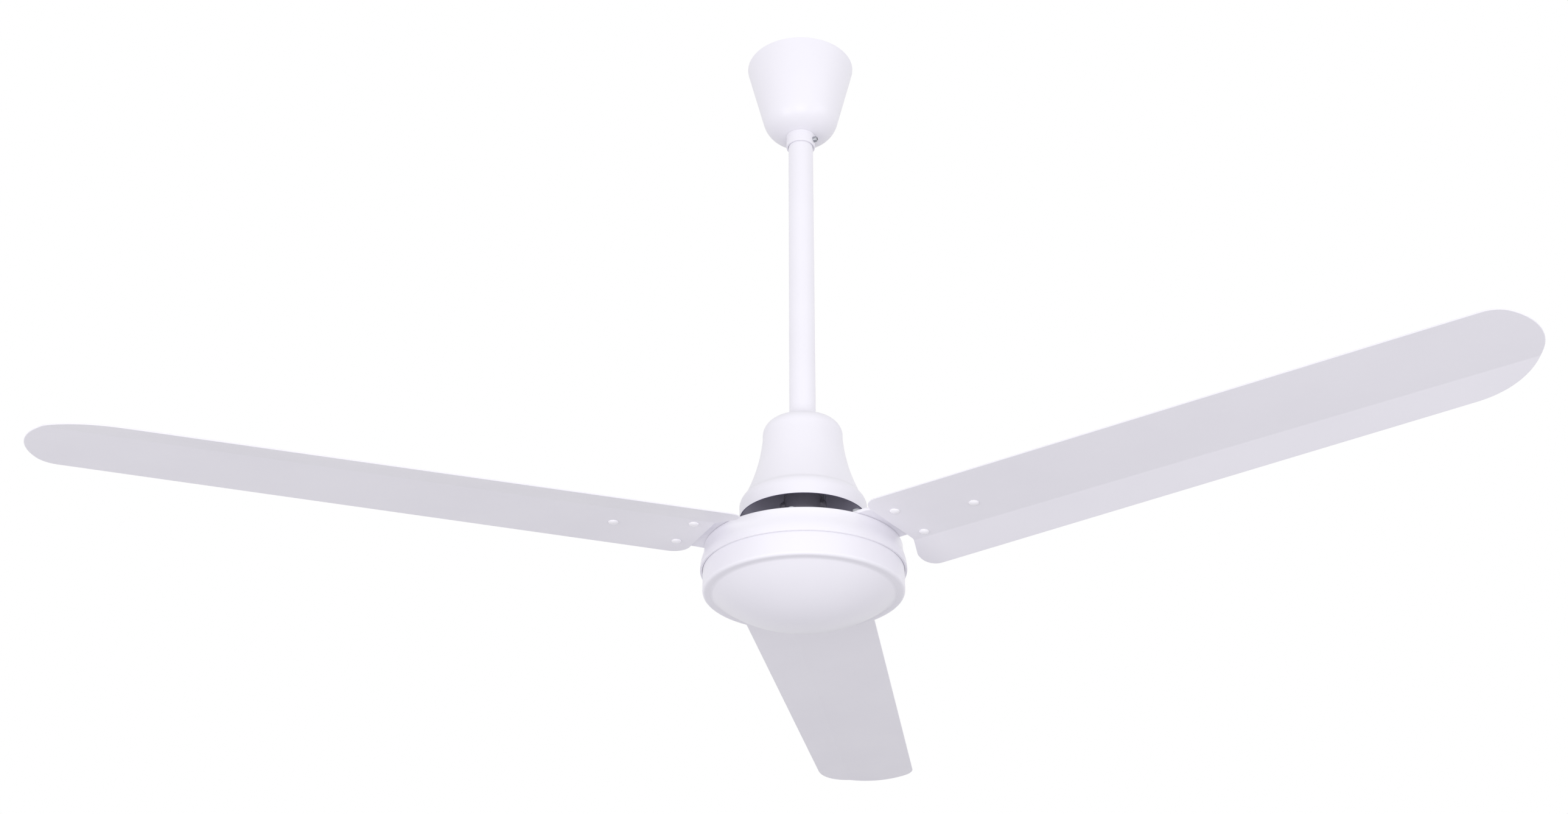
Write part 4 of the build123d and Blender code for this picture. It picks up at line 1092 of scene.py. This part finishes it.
@dataclass
class Motor(SubAssembly):
    """Outer-rotor motor: two painted shells, a domed cover, and the core, coils and bearings inside."""

    body: ClassVar[Body] = Body.ROTOR
    boss_radius: float = 0.0245
    boss_top: float = 0.0136
    boss_edge: float = 0.001
    cove: float = 0.0015
    cut_break: float = 0.0003
    upper_hole: float = 0.015
    upper_hole_edge: float = 0.0005
    upper_seat: Pair = (0.02002, 0.012)
    top: float = 0.002
    radius: float = 0.09652
    edge: float = 0.0012
    lip_radius: float = 0.1
    lip_top: float = -0.005
    lip_full: float = -0.0173
    lip_end: float = -0.0232
    lip_edge: float = 0.0004
    lip_bore: float = 0.09772
    bend: float = 0.03
    upper_wall: float = 0.0013
    upper_inside: float = -0.001
    seam: float = -0.0186
    lower_radius: float = 0.09742
    lower_wall: float = 0.002
    floor: float = -0.0463
    floor_edge: float = 0.003
    floor_wall: float = 0.0024
    lower_boss: Pair = (0.022, -0.0556)
    lower_hole: float = 0.0125
    lower_hole_edge: float = 0.0004
    lower_seat: Pair = (0.01752, -0.054)
    screw_head_share: float = 0.78
    cover_radius: float = 0.08812
    cover_depth: float = 0.0295
    cover_cove: float = 0.005
    cover_wall: float = 0.001
    cover_tuck: float = 0.003
    cover_step: float = 0.0003
    turns: int = 192

    def shell(self, name: str, corners: Sequence[Triple], node: str) -> bpy.types.Object:
        """One painted shell from the corners of its section."""
        return self.piece(name, revolved(lift(rounded(corners)), self.turns), node)

    def upper_shell(self) -> bpy.types.Object:
        """Flat top with a bearing boss, a side wall and a flared lip."""
        inner = self.radius - self.upper_wall
        corners = [
            (self.upper_hole, self.boss_top, self.upper_hole_edge),
            (self.boss_radius, self.boss_top, self.boss_edge),
            (self.boss_radius, self.top, self.cove),
            (self.radius, self.top, self.edge),
            (self.radius, self.lip_top, self.bend),
            (self.lip_radius, self.lip_full, self.bend),
            (self.lip_radius, self.lip_end, self.lip_edge),
            (self.lip_bore, self.lip_end, self.cut_break),
            (self.lip_bore, self.seam, 0.0),
            (inner, self.seam, 0.0),
            (inner, self.upper_inside, 0.0),
            (self.upper_seat[0], self.upper_inside, 0.0),
            (*self.upper_seat, 0.0),
            (self.upper_hole, self.upper_seat[1], self.cut_break),
        ]
        return self.shell("motor_upper_shell", corners, "upper_shell")

    def lower_shell(self) -> bpy.types.Object:
        """Cup with a flat floor and a bearing boss under it."""
        inner, inside = self.lower_radius - self.lower_wall, self.floor + self.floor_wall
        boss_radius, boss_end = self.lower_boss
        corners = [
            (self.lower_radius, self.seam, self.cut_break),
            (self.lower_radius, self.floor, self.floor_edge),
            (boss_radius, self.floor, self.cove),
            (boss_radius, boss_end, self.boss_edge),
            (self.lower_hole, boss_end, self.lower_hole_edge),
            (self.lower_hole, self.lower_seat[1], 0.0),
            (*self.lower_seat, 0.0),
            (self.lower_seat[0], inside, self.cut_break),
            (inner, inside, self.cove),
            (inner, self.seam, self.cut_break),
        ]
        return self.shell("motor_lower_shell", corners, "lower_shell")

    def cover(self) -> bpy.types.Object:
        """Shallow dome with a small hollow curve where it meets the shell.

        The dome is part of the sphere of radius S through the rim and the lowest point. A circle of
        radius c touches the sphere from outside and the shell's floor from below, so its centre is
        S + c from the sphere's, and the section follows it from the one to the other.

        Returns:
            The piece.
        """
        reach, depth, cove = self.cover_radius, self.cover_depth, self.cover_cove
        sphere = (reach**2 + depth**2) / (2 * depth)
        centre = self.floor - depth + sphere
        cove_reach = math.sqrt((sphere + cove) ** 2 - (sphere - depth + cove) ** 2)
        lean = math.atan2(cove_reach, sphere - depth + cove)
        angle = np.linspace(0.0, lean, 48)
        outer = np.stack([sphere * np.sin(angle), centre - sphere * np.cos(angle)], 1)
        turn = np.linspace(lean, 0.0, 9)[1:]
        hollow = np.stack([cove_reach - cove * np.sin(turn), self.floor - cove + cove * np.cos(turn)], 1)
        lip = [[cove_reach, self.floor + self.cover_step]]
        hidden = angle[::-1] * (reach - self.cover_tuck) / (sphere * math.sin(lean))
        within = sphere - self.cover_wall
        inner = np.stack([within * np.sin(hidden), centre - within * np.cos(hidden)], 1)
        section = lift(np.concatenate([outer, hollow, lip, inner]))
        return self.piece("motor_cover", revolved(section, self.turns, closed=False), "bottom_cover")

    def build(self) -> None:
        """Builds the outside and finishes the inside."""
        self.upper_shell()
        self.lower_shell()
        self.cover()
        self.low_heads("cover_screws", "shell_screws", self.top, self.screw_head_share)
        dress(self.finishes.ground_steel, "motor_shaft")
        for end in ("upper", "lower"):
            dress(self.finishes.spring_steel, f"{end}_circlip")
            dress(self.finishes.ground_steel, f"{end}_bearing_inner_ring", f"{end}_bearing_outer_ring")
        dress(self.finishes.core_steel, "stator_core", "rotor_core")
        dress(self.finishes.winding, "stator_windings")
        dress(self.finishes.cage_aluminium, "rotor_cage")


@dataclass
class BladeSet(SubAssembly):
    """Three pressed blades with their irons, rivets and screws."""

    body: ClassVar[Body] = Body.ROTOR
    pitch: float = 3.6
    droop: float = 1.1
    thickness: float = 0.0012
    offset: float = 0.0024
    root: float = 0.10502
    leading: Pair = (-0.0517, -0.0065)
    trailing: Pair = (0.0806, -0.0365)
    crease: Pair = (0.0369, -0.0159)
    crease_angle: float = 9.0
    crease_radius: float = 0.003
    root_bend: float = 0.017
    lobe_reach: float = 0.09302
    lobe_start: float = 0.035
    lobe_shoulder: float = 0.0605
    lobe_bend: float = 0.014
    tip_lead: Pair = (0.6937, 0.0225)
    tip_point: Triple = (0.7211, -0.0142, 0.0615)
    tip_trail: Pair = (0.6814, 0.0805)
    iron_thickness: float = 0.003
    iron_edge: float = 0.0005
    iron_inner: float = 0.07502
    iron_corner: float = 0.009
    iron_bend: Pair = (0.09802, 0.10602)
    iron_half: float = 0.0345
    iron_waist: float = 0.033
    iron_waist_sweep: float = 0.02
    iron_shoulder: float = 0.13302
    iron_neck: float = 0.15102
    iron_neck_half: float = 0.016
    iron_neck_sweep: float = 0.01
    iron_tip: float = 0.014
    iron_tip_sweep: float = 0.05
    motor_top: float = 0.002
    screw_seat: float = 0.0062
    screw_head_share: float = 0.6
    rivet_places: tuple[Pair, ...] = ((0.12282, -0.0221), (0.12282, 0.0269), (0.19382, 0.0024))
    rivet_head: Pair = (0.005, 0.0022)
    rivet_tail: Pair = (0.004, 0.0018)
    rivet_shank: float = 0.0024
    rivet_turns: int = 40

    def line(self, rule: Pair, reach: Any) -> Any:
        """Height across the blade of a straight line: its value at the root plus slope times reach."""
        return rule[0] + rule[1] * (reach - self.root)

    def blade_surface(self, azimuth: float) -> Callable[[Points], Points]:
        """Underside of a blade as a function of reach along it and distance across it.

        With q the distance beyond the crease, the surface is flat for q < -a, falls as
        -(q+a)^2 tan(t) / 4a up to q = a and as -q tan(t) beyond, where a = R tan(t/2).

        Args:
            azimuth: The blade's direction in degrees.

        Returns:
            The function, from rows along and across to points.
        """
        place = blade_placement(azimuth, 0.0, self.pitch, self.droop)
        slope = math.tan(math.radians(self.crease_angle))
        half = self.crease_radius * math.tan(math.radians(self.crease_angle) / 2)

        def lay(spots: Points) -> Points:
            """Points of the underside."""
            beyond = spots[..., 1] - self.line(self.crease, spots[..., 0])
            curved = -((np.clip(beyond, -half, half) + half) ** 2) * slope / (4 * half)
            height = curved - np.maximum(beyond - half, 0.0) * slope
            return place.out(np.concatenate([spots, height[..., None]], -1))

        return lay

    def blade(self, number: int, azimuth: float) -> bpy.types.Object:
        """One blade: two facets that meet at the crease, inside a rounded edge.

        The faces are narrower along the crease and at the blade's root and tip.

        Args:
            number: The blade's number.
            azimuth: Its direction in degrees.

        Returns:
            The piece.
        """
        root, lobe = self.root, self.lobe_reach
        (lead, lead_bend), (trail, trail_bend) = self.tip_lead, self.tip_trail
        corners = {
            "tip_lead": (lead, self.line(self.leading, lead), lead_bend),
            "tip_point": self.tip_point,
            "tip_trail": (trail, self.line(self.trailing, trail), trail_bend),
            "root_trail": (lobe, self.line(self.trailing, lobe), self.lobe_bend),
            "lobe_shoulder": (lobe, self.lobe_shoulder, self.lobe_bend),
            "lobe_start": (root, self.lobe_start, self.lobe_bend),
            "root_lead": (root, self.line(self.leading, root), self.root_bend),
        }
        outline = rounded(list(corners.values()), 24)
        sheet = CutSheet(outline, self.thickness, self.thickness / 2, self.blade_surface(azimuth))
        at = {name: sheet.nearest(corner[:2]) for name, corner in corners.items()}
        ends = sheet.crossings(lambda spot: spot[:, 1] - self.line(self.crease, spot[:, 0]))
        at["root"], at["tip"] = ends[np.argsort(sheet.edge_at(ends)[:, 0])]
        u = crowded(20, 0.09, 36)
        v = np.concatenate([[0.0, 0.006, 0.014], np.linspace(0.04, 1.0, 40)])
        parts: list[Mesh] = []
        ring: list[Points] = []
        for side, forward in (("lead", True), ("trail", False)):
            sides = [
                sheet.between(at["root"], at[f"root_{side}"], v, forward),
                sheet.between(at[f"root_{side}"], at[f"tip_{side}"], u, forward),
                sheet.between(at["tip"], at[f"tip_{side}"], v, not forward),
            ]
            ring += sides
            start, far, end = (sheet.edge_at(distance) for distance in sides)
            near = start[0] + (end[0] - start[0]) * u[:, None]
            parts += sheet.patch(near, far, start, end, u, v)
        shape = joined([*parts, sheet.rim(ring)])
        enamel = self.finishes.blade_enamel
        return self.piece(f"blade_sheet_{number}", shape, f"blade_{number}", enamel, Slot.BLADE_ENAMEL)

    def iron_surface(self, azimuth: float) -> Callable[[Points], Points]:
        """Underside of an iron as a function of reach along it and distance across it.

        Up to the bend it is level on the motor, past the bend it lies on the blade, and between
        the two it is their blend with the weight w^2 (3 - 2w), w being the share of the bend.

        Args:
            azimuth: The blade's direction in degrees.

        Returns:
            The function, from rows along and across to points.
        """
        level = hub_placement(azimuth, self.motor_top)
        tilted = blade_placement(azimuth, self.thickness, self.pitch, self.droop)
        start, end = self.iron_bend

        def lay(spots: Points) -> Points:
            """Points of the underside."""
            flat = np.concatenate([spots, np.zeros(spots.shape[:-1] + (1,))], -1)
            share = np.clip((spots[..., :1] - start) / (end - start), 0.0, 1.0)
            weight = share**2 * (3.0 - 2.0 * share)
            return level.out(flat) * (1.0 - weight) + tilted.out(flat) * weight

        return lay

    def iron(self, number: int, azimuth: float) -> bpy.types.Object:
        """One blade iron, waisted and round-ended.

        Each corner of half its outline has a reach, a half width, the share of the offset by which
        it is moved across, and a fillet radius. The last radius is just under the tip's half width.

        Args:
            number: The blade's number.
            azimuth: Its direction in degrees.

        Returns:
            The piece.
        """
        tip = self.rivet_places[2][0]
        half_outline = [
            (self.iron_inner, self.iron_half, 0.0, self.iron_corner),
            (self.iron_bend[0], self.iron_half, 0.0, self.iron_waist_sweep),
            (self.iron_bend[1], self.iron_waist, 0.0, self.iron_waist_sweep),
            (self.iron_shoulder, self.iron_waist, 0.0, self.iron_neck_sweep),
            (self.iron_neck, self.iron_neck_half, 1.0, self.iron_neck_sweep),
            (tip, self.iron_tip, 1.0, self.iron_tip_sweep),
            (tip + self.iron_tip, self.iron_tip, 1.0, self.iron_tip * 0.999),
        ]
        right = [(reach, self.offset * share + half, bend) for reach, half, share, bend in half_outline]
        left = [(reach, self.offset * share - half, bend) for reach, half, share, bend in half_outline]
        outline = rounded(left + right[::-1], 12)
        sheet = CutSheet(outline, self.iron_thickness, self.iron_edge, self.iron_surface(azimuth))
        at = [sheet.nearest(corner[:2]) for corner in (left[0], left[-1], right[-1], right[0])]
        u, v = np.linspace(0.0, 1.0, 80), np.linspace(0.0, 1.0, 28)
        sides = [sheet.between(at[k], at[(k + 1) % 4], (u, v)[k % 2]) for k in range(4)]
        near, end, far, start = (sheet.edge_at(distance) for distance in sides)
        parts = sheet.patch(near, far[::-1], start[::-1], end, u, v)
        shape = joined([*parts, sheet.rim(sides)])
        return self.piece(f"iron_plate_{number}", shape, f"blade_iron_{number}")

    def rivet_set(self, number: int, azimuth: float) -> bpy.types.Object:
        """Three painted rivets: a low dome under the blade, a shank and a flatter tail above.

        Args:
            number: The blade's number.
            azimuth: Its direction in degrees.

        Returns:
            The piece.
        """
        grip = self.thickness + self.iron_thickness
        (head_radius, head_height), (tail_radius, tail_height) = self.rivet_head, self.rivet_tail
        angle = np.linspace(0.0, math.pi / 2, 9)
        head = np.stack([head_radius * np.sin(angle), -head_height * np.cos(angle)], 1)
        tail = np.stack([tail_radius * np.cos(angle), grip + tail_height * np.sin(angle)], 1)
        shank = np.array([[self.rivet_shank, 0.0], [self.rivet_shank, grip]])
        vertices, faces = revolved(np.concatenate([head, shank, tail]), self.rivet_turns, closed=False)
        place = blade_placement(azimuth, 0.0, self.pitch, self.droop)
        shape = joined([(place.out(vertices + [*spot, 0.0]), faces) for spot in self.rivet_places])
        # The rivet heads take the lighter enamel, a painted highlight.
        enamel = self.finishes.rivet_highlight_enamel
        return self.piece(f"rivet_set_{number}", shape, f"blade_rivets_{number}", enamel, Slot.PAINTED_RIVETS)

    def build(self) -> None:
        """Builds the three blades with their irons and rivets, and finishes their screws."""
        for number, azimuth in enumerate(BLADE_AZIMUTHS, 1):
            self.blade(number, azimuth)
            self.iron(number, azimuth)
            self.rivet_set(number, azimuth)
            dress(self.finishes.zinc, f"iron_washers_{number}")
            screws = f"iron_screws_{number}"
            self.low_heads(f"plate_screws_{number}", screws, self.screw_seat, self.screw_head_share)


# Light and camera


@dataclass
class Studio:
    """Pale floor, white surroundings, soft lamps and the camera."""

    distance: float = 1.6584
    drop: float = 0.73734
    turn: float = 7.0138
    yaw: float = 0.647
    pitch: float = 28.3864
    roll: float = -0.0798
    lens: float = 42.761
    sensor: float = 36.0
    floor_level: float = -5.2
    floor_half: float = 14.0
    floor_points: int = 41
    floor_roll: float = 0.002
    floor_waves: Pair = (0.7, 0.6)
    ambient: float = 0.81
    ambient_colour: Triple = (0.985, 0.98, 1.0)
    lamp_size: float = 2.0
    lamp_target: Triple = (0.0, 0.0, -0.5)

    def camera(self) -> bpy.types.Object:
        """The camera, below the blades and looking up.

        It stands at (0, -distance, -drop) from the blade plane's middle before the whole is turned
        about the axis. Its forward direction is (-sin y cos p, cos y cos p, sin p) for yaw y and pitch p.

        Returns:
            The camera, made the scene's own.
        """
        yaw, pitch, roll, turn = (math.radians(a) for a in (self.yaw, self.pitch, self.roll, self.turn))
        forward = Vector((-math.sin(yaw) * math.cos(pitch), math.cos(yaw) * math.cos(pitch), math.sin(pitch)))
        right = Vector((math.cos(yaw), math.sin(yaw), 0.0))
        above = right.cross(forward)
        level_right = right * math.cos(roll) + above * math.sin(roll)
        level_up = above * math.cos(roll) - right * math.sin(roll)
        basis = Matrix((level_right, level_up, -forward)).transposed().to_4x4()
        basis.translation = Vector((0.0, -self.distance, BLADE_PLANE - self.drop))
        data = bpy.data.cameras.new("view")
        data.lens = self.lens
        data.sensor_width = self.sensor
        data.sensor_fit = "HORIZONTAL"
        data.clip_end = 100.0
        camera = bpy.data.objects.new("view", data)
        bpy.context.scene.collection.objects.link(camera)
        camera.matrix_world = Matrix.Rotation(turn, 4, "Z") @ basis
        bpy.context.scene.camera = camera
        return camera

    def floor(self) -> bpy.types.Object:
        """The pale floor far below, a grid with a faint roll in its height.

        With the roll r and the waves f and g, the height is floor_level + r sin(f x) cos(g y).

        Returns:
            The floor, which belongs to the scene only.
        """
        side = np.linspace(-self.floor_half, self.floor_half, self.floor_points)
        x, y = np.meshgrid(side, side, indexing="ij")
        along, across = self.floor_waves
        height = self.floor_level + self.floor_roll * np.sin(along * x) * np.cos(across * y)
        points = np.stack([x, y, height], -1).reshape(-1, 3)
        mesh = bpy.data.meshes.new("floor")
        mesh.from_pydata(points.tolist(), [], grid_faces(*x.shape).tolist())
        mesh.polygons.foreach_set("use_smooth", np.ones(len(mesh.polygons), bool))
        mesh.materials.append(FloorPaint().material())
        piece = bpy.data.objects.new("floor", mesh)
        bpy.context.scene.collection.objects.link(piece)
        return piece

    def surroundings(self) -> None:
        """White where the camera, gloss and glass look, and even soft light elsewhere."""
        world = bpy.data.worlds.new("surroundings")
        world.use_nodes = True
        bpy.context.scene.world = world
        graph = Graph(world.node_tree)
        seen = ["Is Camera Ray", "Is Glossy Ray", "Is Transmission Ray"]
        camera, gloss, glass = (graph.node("ShaderNodeLightPath", {}, {}, name) for name in seen)
        factor = (camera + gloss + glass).clamped()
        light = {"Color": (*self.ambient_colour, 1.0), "Strength": self.ambient}
        soft = graph.node("ShaderNodeBackground", {}, light)
        white = graph.node("ShaderNodeBackground", {}, {"Color": (1.0, 1.0, 1.0, 1.0), "Strength": 1.0})
        mixed = graph.node("ShaderNodeMixShader", {}, {0: factor, 1: soft, 2: white})
        graph.node("ShaderNodeOutputWorld", {}, {"Surface": mixed})

    def lamp(self, name: str, place: Triple, power: float) -> bpy.types.Object:
        """A square soft lamp that points at the fan.

        Args:
            name: Its name.
            place: Where it stands.
            power: Its power in watts.

        Returns:
            The lamp.
        """
        data = bpy.data.lights.new(name, "AREA")
        data.shape = "SQUARE"
        data.size = self.lamp_size
        data.energy = power
        lamp = bpy.data.objects.new(name, data)
        bpy.context.scene.collection.objects.link(lamp)
        lamp.location = place
        beam = Vector(self.lamp_target) - Vector(place)
        lamp.rotation_euler = beam.to_track_quat("-Z", "Y").to_euler()
        return lamp

    def build(self) -> None:
        """Sets up floor, surroundings, lamps and camera."""
        self.floor()
        self.surroundings()
        self.lamp("front_lamp", (0.38, -3.18, -2.2), 34.5)
        self.lamp("left_lamp", (-2.29, -2.69, -2.2), 33.0)
        self.lamp("right_lamp", (2.87, -2.07, -2.2), 15.0)
        self.lamp("side_lamp", (3.59, -1.38, -0.6), 15.0)
        self.camera()
        bpy.context.scene.view_settings.view_transform = "Standard"
        LOG.info("studio ready")


def main() -> None:
    """Builds the fan's looks in order."""
    logging.basicConfig(level=logging.INFO, format="%(name)s: %(message)s")
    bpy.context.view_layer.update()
    finishes = Finishes()
    for assembly in (CeilingMount, Downrod, UpperCanopy, LowerCanopy, Motor, BladeSet):
        assembly(finishes).build()
    Studio().build()


if __name__ == "__main__":
    main()
